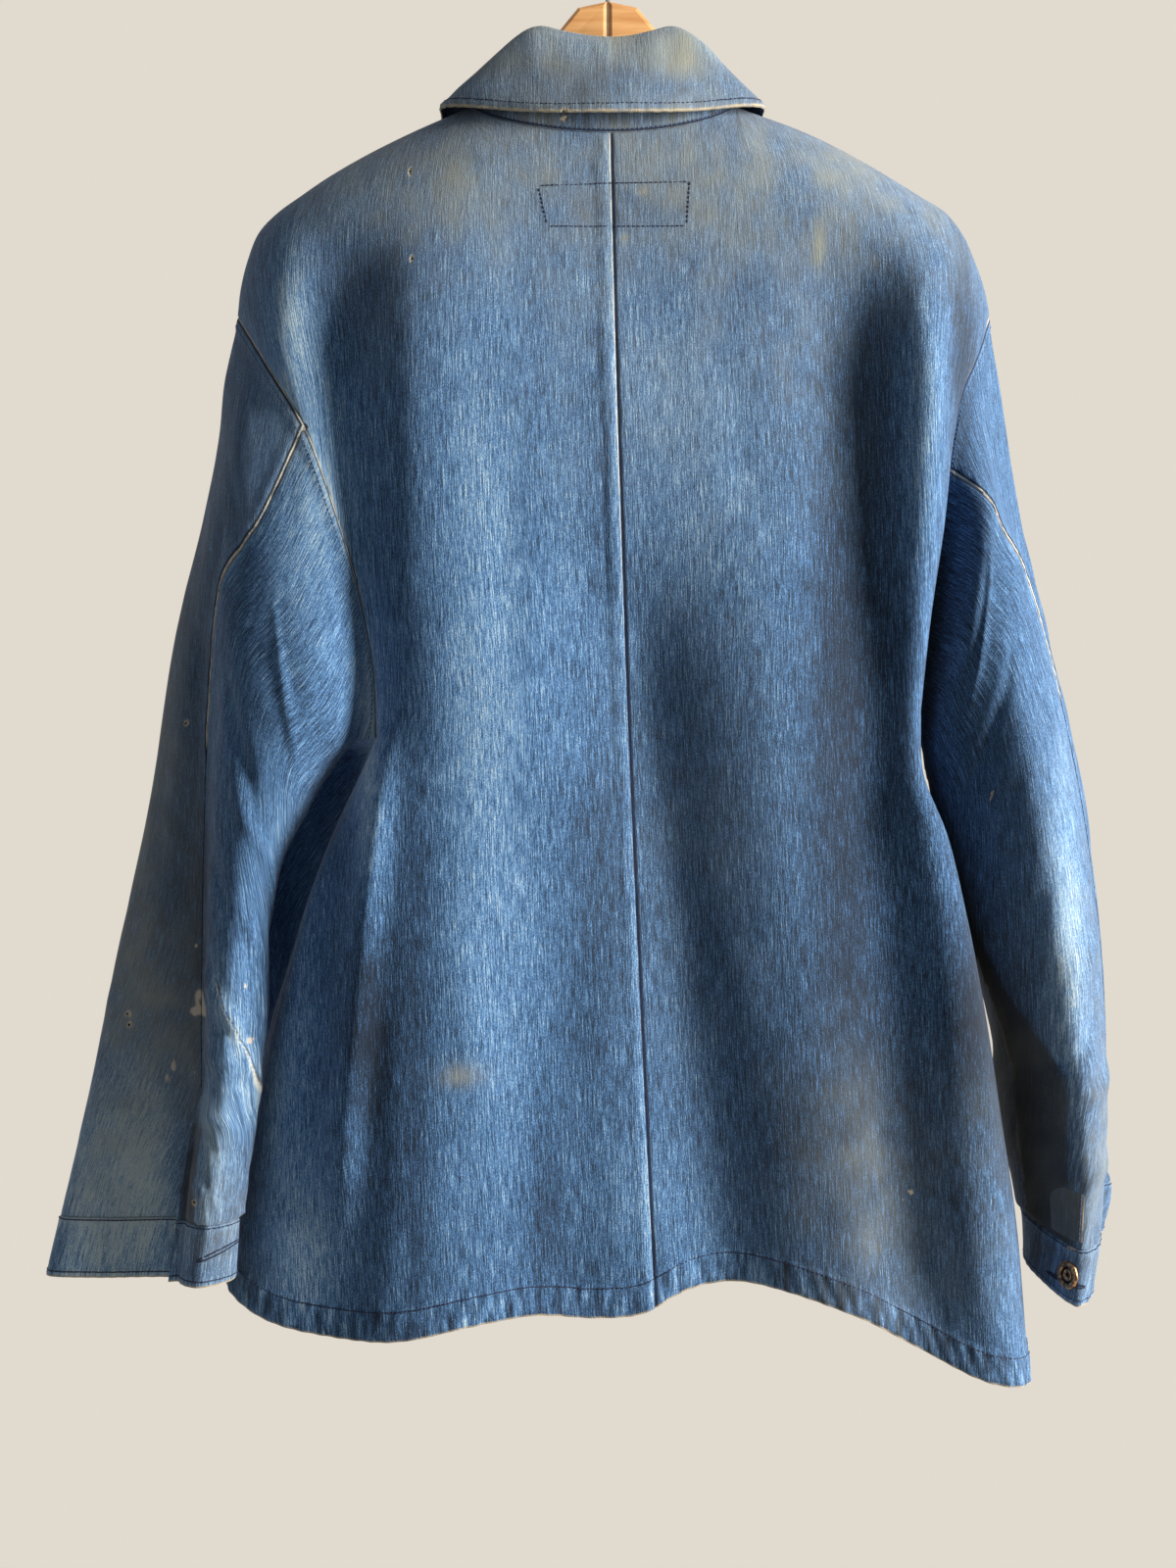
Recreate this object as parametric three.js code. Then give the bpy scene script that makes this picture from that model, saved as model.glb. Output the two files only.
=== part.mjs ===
import * as THREE from 'three';

// A worn denim chore jacket hung back outward on a plain wooden hanger.
// Origin: inner top of the hanger hook. +Z up, the jacket's back faces -Y, its left sleeve is at -X.

// Driving sizes in mm
const CLOTH = 1.6;
const SEAM_GAP = 0.3;
const BACK_LENGTH = 762;
const NECK_BACK = { x: 1, y: -50, z: -166 };
const NECK_FRONT = { z: -204 };
const NECK_RIDGE = 18.5;
const NECK_SHARE = 0.4;
const SHOULDER_ROLL = 66;
const UNDERARM_SHARE = 0.43;
const FRONT_HEM_RISE = 14;
const CENTRE_DRIFT = 29;
const COLLAR_ROLL = 5;
const HANGER = { thick: 12, bevel: 3, bow: 10, wire: 1.65, hook: 21 };
const LAP = 2.6;

// Shoulder line from neck to armhole: height, left x, right x, depth
const SHOULDER = [
  [-133, -92, 85, 0], [-151, -134, 135, 2], [-166, -165, 166, 4], [-180, -190, 191, 6],
  [-191, -207, 210, 8], [-201, -222, 227, 10], [-214, -235, 238, 11], [-232, -243, 247, 12],
  [-250, -248, 254, 12], [-268, -251, 259, 12],
];

// Armhole on the back and on the front, from the shoulder to the underarm: x, y, z
const ARMHOLE = {
  left: {
    back: [[-251, 12, -268], [-224, -26, -310], [-194, -46, -360], [-176, -44, -411],
      [-163, -34, -460], [-154, -26, -510], [-152, -20, -556]],
    front: [[-251, 12, -268], [-241, 31, -290], [-227, 41, -322], [-200, 45, -380], [-178, 40, -440],
      [-162, 20, -506], [-152, -20, -556]],
  },
  right: {
    back: [[259, 12, -268], [246, -6, -300], [232, -18, -330], [226, -18, -356],
      [219, -10, -420], [211, 0, -480], [205, 5, -540]],
    front: [[259, 12, -268], [252, 31, -288], [241, 41, -318], [226, 45, -380], [216, 40, -440],
      [209, 26, -500], [205, 5, -540]],
  },
};

// Side seam from the underarm to the hem: x, y, z
const SIDE_SEAM = {
  left: [[-152, -20, -556], [-164, -10, -580], [-180, -4, -612], [-197, -2, -655],
    [-213, 2, -706], [-227, 6, -760], [-241, 12, -836], [-257, 18, -922]],
  right: [[205, 5, -540], [206, 5, -580], [222, 4, -620], [234, 2, -670],
    [246, 0, -730], [257, -2, -800], [267, -6, -872], [275, -14, -974]],
};

// Back hem: x, z
const HEM = [
  [-257, -922], [-231, -935], [-182, -944], [-131, -941], [-90, -933], [-54, -929], [-6, -932],
  [25, -928], [45, -918], [79, -911], [116, -914], [160, -928], [197, -947], [238, -966], [275, -974],
];

// Hanging depth of the middle of the back and of the front: z, back y, front y
const DEPTH = [
  [-130, -40, 30], [-210, -54, 44], [-320, -52, 46], [-480, -48, 44], [-700, -47, 44], [-960, -48, 44],
];

// Long soft folds: x at top, x at bottom, top z, bottom z, left width, right width, height out
const BACK_FOLDS = [
  [-120, -134, -240, -990, 34, 80, 17],
  [-184, -158, -250, -560, 22, 28, -15],
  [-146, -174, -556, -850, 17, 12, 17],
  [12, 88, -470, -990, 46, 34, -17],
  [92, 168, -400, -990, 40, 46, 8],
  [156, 200, -270, -930, 40, 26, -12],
  [208, 205, -240, -610, 24, 18, 18],
  [222, 262, -590, -1000, 40, 20, 21],
  [-34, -22, -640, -990, 42, 40, -9],
];
const FRONT_FOLDS = [
  [-130, -150, -320, -990, 40, 50, 12],
  [-60, -40, -560, -990, 30, 40, -9],
  [70, 90, -520, -990, 40, 40, -9],
  [140, 190, -300, -990, 46, 40, 13],
];

// Sleeve sections from armhole to cuff end: share of length, outer x, outer z, inner x, inner z,
// back seam x, back seam y, crest x, crest y, inner y, outer y, front x, front y
const SLEEVE = {
  left: [
    [0.10, -258, -312, -170, -560, -223, -44, -184, -54, -16, 8, -218, 44],
    [0.19, -263, -352, -184, -578, -236, -40, -196, -56, -16, 12, -230, 47],
    [0.28, -274, -402, -197, -602, -254, -28, -212, -56, -18, 18, -246, 50],
    [0.40, -296, -482, -213, -632, -266, -10, -230, -54, -20, 27, -266, 52],
    [0.55, -315, -596, -222, -676, -270, -8, -238, -50, -22, 31, -280, 54],
    [0.70, -336, -706, -227, -740, -271, -10, -244, -50, -24, 20, -292, 54],
    [0.83, -350, -796, -235, -812, -270, -20, -248, -54, -30, 4, -300, 54],
    [0.935, -366, -874, -241, -868, -279, -24, -256, -54, -32, -4, -308, 50],
    [1.00, -375, -914, -244, -908, -284, -24, -262, -54, -32, -6, -314, 46],
  ],
  right: [
    [0.10, 266, -314, 213, -562, 248, -31, 229, -44, -2, 14, 240, 42],
    [0.19, 273, -356, 218, -584, 258, -30, 236, -50, 2, 18, 246, 46],
    [0.28, 283, -410, 223, -606, 273, -24, 250, -54, 6, 20, 254, 50],
    [0.40, 302, -490, 232, -640, 294, -18, 266, -56, 10, 20, 262, 52],
    [0.55, 326, -600, 246, -690, 317, -12, 281, -56, 22, 20, 284, 54],
    [0.70, 336, -708, 263, -750, 330, -8, 296, -54, 32, 22, 306, 58],
    [0.83, 335, -800, 274, -812, 332, -8, 306, -52, 36, 24, 318, 62],
    [0.935, 335, -884, 284, -884, 325, -18, 303, -54, 22, 30, 356, 60],
    [1.00, 326, -922, 284, -920, 317, -22, 300, -54, 16, 34, 350, 60],
  ],
};
const CUFF_SHARE = 0.935;
const SEAM_ON_ARMHOLE = { left: 0.36, right: 0.42 };
const SLIT = { share: 0.79, run: 0.06, near: 13, under: 22, press: 7 };
const SIDE_BULGE = 50;
const CUFF_TILT = 0.18;

// Colours
const DENIM = { color: 0x3f5f8d, roughness: 0.95, metalness: 0 };
const WOOD = { color: 0xc89058, roughness: 0.5, metalness: 0 };
const COPPER = { color: 0x8a5a3c, roughness: 0.4, metalness: 0.9 };
const STEEL = { color: 0xb8b4ac, roughness: 0.3, metalness: 1 };

const group = new THREE.Group();
group.name = 'chore_jacket';

// Small helpers
const mix = (a, b, w) => a + (b - a) * w;
const clamp = (v) => Math.min(1, Math.max(0, v));
const ease = (v) => clamp(v) ** 2 * (3 - 2 * clamp(v));
const add = (a, b, w = 1) => [a[0] + b[0] * w, a[1] + b[1] * w, a[2] + b[2] * w];
const minus = (a, b) => add(a, b, -1);
const cross = (a, b) => [
  a[1] * b[2] - a[2] * b[1], a[2] * b[0] - a[0] * b[2], a[0] * b[1] - a[1] * b[0]];
const unit = (a) => {
  const size = Math.hypot(a[0], a[1], a[2]) || 1;
  return [a[0] / size, a[1] / size, a[2] / size];
};

// A smooth value through rows of a table, keyed by a rising list
function smooth(keys, values, at) {
  const last = keys.length - 1;
  let i = 0;
  while (i < last - 1 && at > keys[i + 1]) i += 1;
  const slope = (k) => (values[k + 1] - values[k]) / (keys[k + 1] - keys[k]);
  const lean = (k) => {
    if (k === 0) return slope(0);
    if (k === last) return slope(last - 1);
    const before = keys[k] - keys[k - 1];
    const after = keys[k + 1] - keys[k];
    return (slope(k - 1) * after + slope(k) * before) / (before + after);
  };
  const span = keys[i + 1] - keys[i];
  const w = (at - keys[i]) / span;
  if (w < 0) return values[i] + lean(i) * (at - keys[i]);
  if (w > 1) return values[i + 1] + lean(i + 1) * (at - keys[i + 1]);
  const w2 = w * w;
  const w3 = w2 * w;
  return values[i] * (2 * w3 - 3 * w2 + 1) + lean(i) * span * (w3 - 2 * w2 + w)
    + values[i + 1] * (3 * w2 - 2 * w3) + lean(i + 1) * span * (w3 - w2);
}

// A smooth path through points, run from 0 to 1 by length
function path(points) {
  const keys = [0];
  for (let i = 1; i < points.length; i += 1) {
    keys.push(keys[i - 1] + Math.hypot(...minus(points[i], points[i - 1])));
  }
  const whole = keys[keys.length - 1];
  const columns = [0, 1, 2].map((c) => points.map((p) => p[c]));
  return (w) => columns.map((column) => smooth(keys, column, w * whole));
}

// One column of a table whose first column falls
function column(table, c, at) {
  return smooth(table.map((row) => -row[0]), table.map((row) => row[c]), -at);
}

const name = (side) => (side < 0 ? 'left' : 'right');
const armholePath = {};
const sidePath = {};
const shoulderPath = {};
for (const side of [-1, 1]) {
  const key = name(side);
  armholePath[key] = { back: path(ARMHOLE[key].back), front: path(ARMHOLE[key].front) };
  sidePath[key] = path(SIDE_SEAM[key]);
  shoulderPath[key] = path(SHOULDER.map((row) => [row[side < 0 ? 1 : 2], row[3], row[0]]));
}

// The centre line drifts sideways as the jacket hangs
const centreX = (z) => NECK_BACK.x
  + CENTRE_DRIFT * Math.max(0, (NECK_BACK.z - z) / BACK_LENGTH) ** 1.3;
const hemZ = (x) => smooth(HEM.map((row) => row[0]), HEM.map((row) => row[1]), x);

// How far the folds lift the cloth at a place
function foldLift(folds, x, z) {
  let lift = 0;
  for (const [xTop, xLow, zTop, zLow, left, right, out] of folds) {
    const along = (zTop - z) / (zTop - zLow);
    const away = x - mix(xTop, xLow, along);
    const width = away < 0 ? left : right;
    const ends = ease((zTop - z) / 150 + 0.5) * ease((z - zLow) / 90 + 0.5);
    lift += out * ends * Math.exp(-((away / width) ** 2));
  }
  return lift;
}

// Top edge of a body panel: neckline, then shoulder
function topEdge(side, face, s) {
  const front = face > 0;
  const low = front ? NECK_FRONT : NECK_BACK;
  const neck = shoulderPath[name(side)](0);
  if (s <= NECK_SHARE) {
    const turn = (s / NECK_SHARE) * Math.PI / 2;
    const middle = centreX(low.z);
    return [middle + (neck[0] - middle) * Math.sin(turn), 0,
      low.z + (neck[2] - low.z) * (1 - Math.cos(turn))];
  }
  return shoulderPath[name(side)]((s - NECK_SHARE) / (1 - NECK_SHARE));
}

// Outer edge of a body panel: armhole, then side seam
function outerEdge(side, face, t) {
  const key = name(side);
  if (t <= UNDERARM_SHARE) {
    return armholePath[key][face < 0 ? 'back' : 'front'](t / UNDERARM_SHARE);
  }
  return sidePath[key]((t - UNDERARM_SHARE) / (1 - UNDERARM_SHARE));
}

// A point of the body: s from centre to side, t from top to hem
function body(side, face, s, t) {
  const top = topEdge(side, face, s);
  const topMid = topEdge(side, face, 0);
  const topEnd = topEdge(side, face, 1);
  const edge = outerEdge(side, face, t);
  const edgeEnd = outerEdge(side, face, 1);
  const hemMid = NECK_BACK.z - BACK_LENGTH;
  const midZ = mix(topMid[2], hemMid, t);
  const hemX = mix(centreX(hemMid), edgeEnd[0], s);
  const hem = face < 0 ? hemZ(hemX) : mix(hemMid, edgeEnd[2], ease(s)) + FRONT_HEM_RISE * (1 - s ** 4);
  const high = (1 - t) ** 3;
  const low = t ** 3;
  const x = mix(centreX(midZ), edge[0], s) + high * (top[0] - mix(topMid[0], topEnd[0], s))
    + low * (hemX - mix(centreX(hemMid), edgeEnd[0], s));
  const z = mix(midZ, edge[2], s) + high * (top[2] - mix(topMid[2], topEnd[2], s))
    + low * (hem - mix(hemMid, edgeEnd[2], s));
  const ridge = s < NECK_SHARE
    ? [0, 0, SHOULDER[0][0] + NECK_RIDGE * (1 - Math.sin((s / NECK_SHARE) * Math.PI / 2) ** 2)] : top;
  const below = Math.max(0, ridge[2] - z);
  const roll = 1 - clamp(below / SHOULDER_ROLL);
  const round = Math.sqrt(Math.max(0, 1 - roll * roll));
  const folds = face < 0 ? -foldLift(BACK_FOLDS, x, z) : foldLift(FRONT_FOLDS, x, z);
  const full = ridge[1] + (column(DEPTH, face < 0 ? 1 : 2, z) - ridge[1]) * round
    + folds * ease(below / 110);
  const blunt = mix(3.2, face < 0 && side > 0 ? 6 : 3.2, clamp(t * 6));
  const across = Math.max(0, 1 - Math.abs(s) ** blunt) ** (1 / blunt);
  const lap = face > 0 && side < 0 ? LAP * ease((0.2 - s) / 0.1) : 0;
  const bulge = face > 0 && side < 0 ? SIDE_BULGE * Math.sin(Math.PI * clamp((s - 0.8) / 0.2))
    * ease((t - UNDERARM_SHARE) / 0.045) * (1 - ease((t - 0.6) / 0.35)) : 0;
  return [x - bulge, edge[1] + (full - edge[1]) * across + lap, z];
}

// Corners of a sleeve section, round from the back seam over the crest and the inner edge
function sleeveCorners(side, row) {
  const [share, xo, zo, xi, zi, xs, ys, xc, yc, yi, yo, xf, yf] = row;
  const height = (x) => mix(zo, zi, (x - xo) / (xi - xo));
  const tuck = side < 0 ? mix(0.6, 0.2, ease((share - 0.1) / 0.3)) : 0.78;
  const flat = [
    [xs, ys], [mix(xs, xc, 0.42), mix(ys, yc, 0.72)], [xc, yc],
    [mix(xc, xi, 0.86), mix(yc, yi, 0.5)], [xi, yi],
    [mix(xi, xf, 0.42), mix(yi, yf, tuck)], [xf, yf], [mix(xf, xo, 0.66), mix(yf, yo, 0.36)],
    [xo, yo], side < 0 ? [mix(xo, xs, 0.42), mix(yo, ys, 0.72)] : [mix(xo, xs, 0.6), mix(yo, ys, 0.5)],
  ];
  const tilt = side > 0 ? CUFF_TILT * ease((share - 0.7) / 0.3) : 0;
  return flat.map(([x, y]) => [x, y, height(x) + tilt * (y + 54)]);
}

// The same places on the armhole
function armholePoint(side, q) {
  const key = name(side);
  const start = SEAM_ON_ARMHOLE[key];
  if (q <= 4) return armholePath[key].back(mix(start, 1, q / 4));
  if (q <= 8) return armholePath[key].front(1 - (q - 4) / 4);
  return armholePath[key].back(start * (q - 8) / 2);
}

function sectionPoint(side, row, q) {
  const corners = sleeveCorners(side, row);
  const count = corners.length;
  const at = Math.floor(q) % count;
  const near = [-1, 0, 1, 2].map((k) => corners[(at + k + count) % count]);
  const keys = [0];
  for (let k = 1; k < 4; k += 1) {
    keys.push(keys[k - 1] + Math.sqrt(Math.hypot(...minus(near[k], near[k - 1])) + 1e-6));
  }
  const w = mix(keys[1], keys[2], q - Math.floor(q));
  return [0, 1, 2].map((c) => smooth(keys, near.map((p) => p[c]), w));
}

// A point of the sleeve: q round the section from 0 to 10, t from armhole to cuff end
function sleeve(side, q, t) {
  const rows = SLEEVE[name(side)];
  const keys = [0, ...rows.map((row) => row[0])];
  const points = [armholePoint(side, q), ...rows.map((row) => sectionPoint(side, row, q))];
  const place = [0, 1, 2].map((c) => smooth(keys, points.map((p) => p[c]), t));
  if (side > 0) return place;
  const near = clamp(1 - q) ** 2 * ease((t - SLIT.share) / SLIT.run);
  const under = clamp(q - 9) ** 2 * ease((t - SLIT.share - SLIT.run) / SLIT.run);
  return add(place, [SLIT.under * under - 2 * near, -SLIT.press * under - SLIT.near * near, 0]);
}

// Outward direction of a surface
function facing(surface, u, v, flip, uMax = 1, vMax = 1) {
  const d = 0.004;
  const [ua, ub] = u + d > uMax ? [u - d, u] : [u, u + d];
  const [va, vb] = v + d > vMax ? [v - d, v] : [v, v + d];
  const along = minus(surface(ub, v), surface(ua, v));
  const down = minus(surface(u, vb), surface(u, va));
  const n = unit(cross(along, down));
  return [n[0] * flip, n[1] * flip, n[2] * flip];
}

const bodyFacing = (side, face, s, t) => facing((u, v) => body(side, face, u, v), s, t, side * face);
const sleeveFacing = (side, q, t) => facing((u, v) => sleeve(side, u, v), q, t, side, 10);

// Round-the-armhole place that belongs to a body row
function armholeQ(side, face, t) {
  const w = t / UNDERARM_SHARE;
  const start = SEAM_ON_ARMHOLE[name(side)];
  if (face > 0) return 8 - 4 * w;
  return w < start ? 8 + 2 * w / start : 4 * (w - start) / (1 - start);
}

// Directions shared by pieces that meet at a seam, so that their walls stay side by side
function bodySeamFacing(side, face, s, t) {
  const parts = [bodyFacing(side, face, s, t)];
  if (s >= 1 && t <= UNDERARM_SHARE) parts.push(sleeveFacing(side, armholeQ(side, face, t), 0));
  if ((s >= 1 && (t >= UNDERARM_SHARE || t <= 0)) || (t <= 0 && s >= NECK_SHARE)) {
    parts.push(bodyFacing(side, -face, s, t));
  }
  if (s === 0 && face < 0) parts.push(bodyFacing(-side, face, s, t));
  return unit(parts.reduce((a, b) => add(a, b)));
}

function sleeveSeamFacing(side, q, t) {
  const parts = [sleeveFacing(side, q, t)];
  if (t === 0) {
    const start = SEAM_ON_ARMHOLE[name(side)];
    const wBack = q >= 8 ? start * (q - 8) / 2 : mix(start, 1, q / 4);
    if (q >= 8 || q <= 4) parts.push(bodyFacing(side, -1, 1, wBack * UNDERARM_SHARE));
    if (q >= 4 && q <= 8) parts.push(bodyFacing(side, 1, 1, (1 - (q - 4) / 4) * UNDERARM_SHARE));
  }
  return unit(parts.reduce((a, b) => add(a, b)));
}

// A closed cloth wall from a grid of outer points and outward directions
function wall(label, us, vs, pointAt, facingAt, look, options = {}) {
  const thick = options.thick ?? CLOTH;
  const lift = options.lift ?? 0;
  const trim = options.trim ?? [SEAM_GAP / 2, SEAM_GAP / 2, SEAM_GAP / 2, SEAM_GAP / 2];
  const nu = us.length;
  const nv = vs.length;
  const outer = [];
  const inner = [];
  for (const u of us) {
    for (const v of vs) {
      const p = pointAt(u, v);
      const n = facingAt(u, v);
      outer.push(add(p, n, lift));
      inner.push(add(p, n, lift - thick));
    }
  }
  const at = (i, j) => i * nv + j;
  for (const layer of [outer, inner]) {
    const before = layer.map((p) => [...p]);
    const pull = (i, j, k, m, gap) => {
      const way = unit(minus(before[at(k, m)], before[at(i, j)]));
      layer[at(i, j)] = add(layer[at(i, j)], way, gap);
    };
    for (let j = 0; j < nv; j += 1) {
      pull(0, j, 1, j, trim[0]);
      pull(nu - 1, j, nu - 2, j, vs[j] <= UNDERARM_SHARE ? trim[1] : SEAM_GAP / 2);
    }
    for (let i = 0; i < nu; i += 1) {
      pull(i, 0, i, 1, trim[2]);
      pull(i, nv - 1, i, nv - 2, trim[3]);
    }
  }
  const places = [...outer, ...inner];
  const back = outer.length;
  const faces = [];
  const quad = (a, b, c, d) => faces.push(a, b, c, a, c, d);
  for (let i = 0; i < nu - 1; i += 1) {
    for (let j = 0; j < nv - 1; j += 1) {
      quad(at(i, j), at(i + 1, j), at(i + 1, j + 1), at(i, j + 1));
      quad(back + at(i, j), back + at(i, j + 1), back + at(i + 1, j + 1), back + at(i + 1, j));
    }
  }
  for (let i = 0; i < nu - 1; i += 1) {
    quad(at(i, 0), back + at(i, 0), back + at(i + 1, 0), at(i + 1, 0));
    quad(at(i, nv - 1), at(i + 1, nv - 1), back + at(i + 1, nv - 1), back + at(i, nv - 1));
  }
  for (let j = 0; j < nv - 1; j += 1) {
    quad(at(0, j), at(0, j + 1), back + at(0, j + 1), back + at(0, j));
    quad(at(nu - 1, j), back + at(nu - 1, j), back + at(nu - 1, j + 1), at(nu - 1, j + 1));
  }
  addBody(label, places, faces, look);
}

// Turn the faces outward where needed and add the body to the group
function addBody(label, places, faces, look) {
  let volume = 0;
  for (let i = 0; i < faces.length; i += 3) {
    const [a, b, c] = [places[faces[i]], places[faces[i + 1]], places[faces[i + 2]]];
    const n = cross(b, c);
    volume += a[0] * n[0] + a[1] * n[1] + a[2] * n[2];
  }
  const turned = volume < 0
    ? faces.map((_, k) => faces[k - (k % 3) + [0, 2, 1][k % 3]]) : faces;
  const shape = new THREE.BufferGeometry();
  shape.setAttribute('position', new THREE.Float32BufferAttribute(places.flat(), 3));
  shape.setIndex(turned);
  shape.computeVertexNormals();
  const mesh = new THREE.Mesh(shape, new THREE.MeshStandardMaterial(look));
  mesh.name = label;
  group.add(mesh);
  return mesh;
}

const steps = (from, to, count) => Array.from({ length: count + 1 }, (_, i) => mix(from, to, i / count));
const joined = (...lists) => lists.flat().filter((v, i, all) => i === 0 || Math.abs(v - all[i - 1]) > 1e-9);

// Body panels
const neckSteps = joined(steps(0, 0.32, 4), [0.37, NECK_SHARE]);
const shoulderSteps = joined([NECK_SHARE], [0.5, 0.6, 0.7, 0.79, 0.86, 0.91, 0.95, 0.98, 1]);
const across = joined(neckSteps, shoulderSteps);
const armSteps = (side) => {
  const start = SEAM_ON_ARMHOLE[name(side)] * UNDERARM_SHARE;
  return joined([0, 0.007, 0.024], steps(0.055, start, 2).slice(0, 2), [start * 0.88],
    steps(start, UNDERARM_SHARE, 6));
};
const frontArmSteps = joined([0, 0.007, 0.024], steps(0.055, UNDERARM_SHARE, 6));
const sideSteps = steps(UNDERARM_SHARE, 1, 12);
for (const side of [-1, 1]) {
  const trim = [SEAM_GAP / 2, SEAM_GAP * 1.2, SEAM_GAP / 2, SEAM_GAP / 2];
  wall(`back_${name(side)}`, across, joined(armSteps(side), sideSteps),
    (s, t) => body(side, -1, s, t), (s, t) => bodySeamFacing(side, -1, s, t), DENIM, { trim });
  const frontAcross = joined([-0.06], across);
  wall(`front_${name(side)}`, frontAcross, joined(frontArmSteps, sideSteps),
    (s, t) => body(side, 1, s, t), (s, t) => bodySeamFacing(side, 1, s, t), DENIM, { trim });
}

// Sleeves: the under piece runs from the back seam over the crest to just past the inner edge
const FRONT_SEAM_Q = 5.2;
const sleeveSteps = joined([0, 0.03, 0.065, 0.10, 0.145], steps(0.19, CUFF_SHARE, 15));
for (const side of [-1, 1]) {
  const backQ = steps(0, 4, 6);
  const frontQ = frontArmSteps.map((t) => armholeQ(side, 1, t)).reverse();
  const capQ = [...armSteps(side).filter((t) => t < SEAM_ON_ARMHOLE[name(side)] * UNDERARM_SHARE - 1e-9)
    .map((t) => armholeQ(side, -1, t)), 10];
  const under = joined(backQ, frontQ.filter((q) => q < FRONT_SEAM_Q));
  const top = joined(frontQ.filter((q) => q >= under[under.length - 1]), capQ);
  const pointAt = (q, t) => sleeve(side, q, t);
  const facingAt = (q, t) => {
    if (t > 0 && q % 10 === 0 && (side > 0 || t < SLIT.share)) {
      return unit(add(sleeveSeamFacing(side, 0, t), sleeveSeamFacing(side, 10, t)));
    }
    return sleeveSeamFacing(side, q, t);
  };
  const trim = [SEAM_GAP / 2, SEAM_GAP / 2, SEAM_GAP, SEAM_GAP / 2];
  wall(`sleeve_under_${name(side)}`, under, sleeveSteps, pointAt, facingAt, DENIM, { trim });
  wall(`sleeve_top_${name(side)}`, top, sleeveSteps, pointAt, facingAt, DENIM, { trim });
  wall(`cuff_${name(side)}`, joined(backQ, frontQ, capQ), steps(CUFF_SHARE, 1, 2), pointAt, facingAt,
    DENIM);
  const strip = side < 0 ? capQ.slice(-2) : backQ.slice(3, 5);
  const stripTop = side < 0 ? 0.87 : 0.83;
  wall(`slit_strip_${name(side)}`, strip,
    [...sleeveSteps.filter((t) => t > stripTop && t < 0.9), 0.929],
    pointAt, facingAt, DENIM, { thick: 1.1, lift: SEAM_GAP + 1.1, trim: [0, 0, 0, 0] });
}

// Hip pockets, cut from the front panels' own places and moved out
for (const side of [-1, 1]) {
  wall(`pocket_${name(side)}`, across.filter((s) => s > 0.2 && s < 0.8),
    sideSteps.filter((t) => t > 0.6 && t < 0.88), (s, t) => body(side, 1, s, t),
    (s, t) => bodySeamFacing(side, 1, s, t), DENIM,
    { lift: SEAM_GAP + CLOTH, trim: [0, 0, 0, 0] });
}

// Neckline run from the left front middle (-1) over the back (0) to the right front middle (1)
function neckline(w) {
  const side = w < 0 ? -1 : 1;
  const half = Math.abs(w);
  return half <= 0.5
    ? body(side, -1, half * 2 * NECK_SHARE, 0) : body(side, 1, (1 - half) * 2 * NECK_SHARE, 0);
}

// Height and lean of the stand, and drop and flare of the leaf, round the neck
function collarSizes(w) {
  const half = Math.abs(w);
  const backness = Math.cos(Math.min(1, half * 2) * Math.PI / 2);
  const frontness = clamp(half * 2 - 1);
  const rise = 10 + 52 * ease(1.2 * backness) ** 1.6 + 14 * frontness;
  return {
    gap: SEAM_GAP * 2 + 7 * backness * (1 - backness),
    rise,
    lean: 0.5 - 0.22 * backness - 0.25 * frontness,
    drop: rise - 14 * backness + 5 + 27 * ease(frontness),
    flare: 17 + 4 * backness - 5 * frontness + 16 * Math.sin(Math.PI * frontness),
  };
}

function collarStand(w, h) {
  const base = neckline(w);
  const { rise, lean } = collarSizes(w);
  const inward = unit([NECK_BACK.x - base[0], -base[1], 0]);
  const start = SEAM_GAP + 1.6 * clamp((Math.abs(w) - 0.5) * 20);
  return add(add(base, [0, 0, start + rise * h]), inward, rise * lean * h);
}

function collarLeaf(w, h) {
  const { drop, flare, gap } = collarSizes(w);
  const base = neckline(w);
  const outward = unit([base[0] - NECK_BACK.x, base[1], 0]);
  const middle = add(add(collarStand(w, 1), outward, COLLAR_ROLL - CLOTH), [0, 0, gap]);
  const turn = clamp(h / 0.4) * Math.PI * 0.86;
  const fall = clamp((h - 0.4) / 0.6);
  const out = -COLLAR_ROLL * Math.cos(turn);
  const up = COLLAR_ROLL * Math.sin(turn);
  return add(add(middle, outward, mix(out, COLLAR_ROLL + flare, fall ** 0.7)),
    [0, 0, mix(up, -drop, fall)]);
}

const backW = neckSteps.map((s) => s / NECK_SHARE / 2);
const sideW = [...backW, ...backW.slice(1, -1).reverse().map((w) => 1 - w), 0.985];
const collarW = [...sideW.slice(1).reverse().map((w) => -w), ...sideW];
const standFacing = (w, h) => facing(collarStand, w, h, 1, 0.985);
const leafFacing = (w, h) => facing(collarLeaf, w, h, -1, 0.985);
wall('collar_stand', collarW, steps(0, 1, 2), collarStand, standFacing, DENIM, { trim: [0, 0, 0, 0] });
wall('collar_leaf', collarW, [0, 0.13, 0.26, 0.4, 0.6, 0.8, 1], collarLeaf, leafFacing, DENIM,
  { trim: [0, 0, 0, 0] });

// Metal shank buttons with a rolled rim and a hollow middle
const BUTTON_PROFILE = [
  [0, 0], [2.8, 0], [3.0, 1.3], [8.3, 1.5], [9, 2.6], [8, 3.9], [5.6, 4.1],
  [4.3, 3.1], [1.8, 3.0], [0, 3.6],
];
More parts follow.
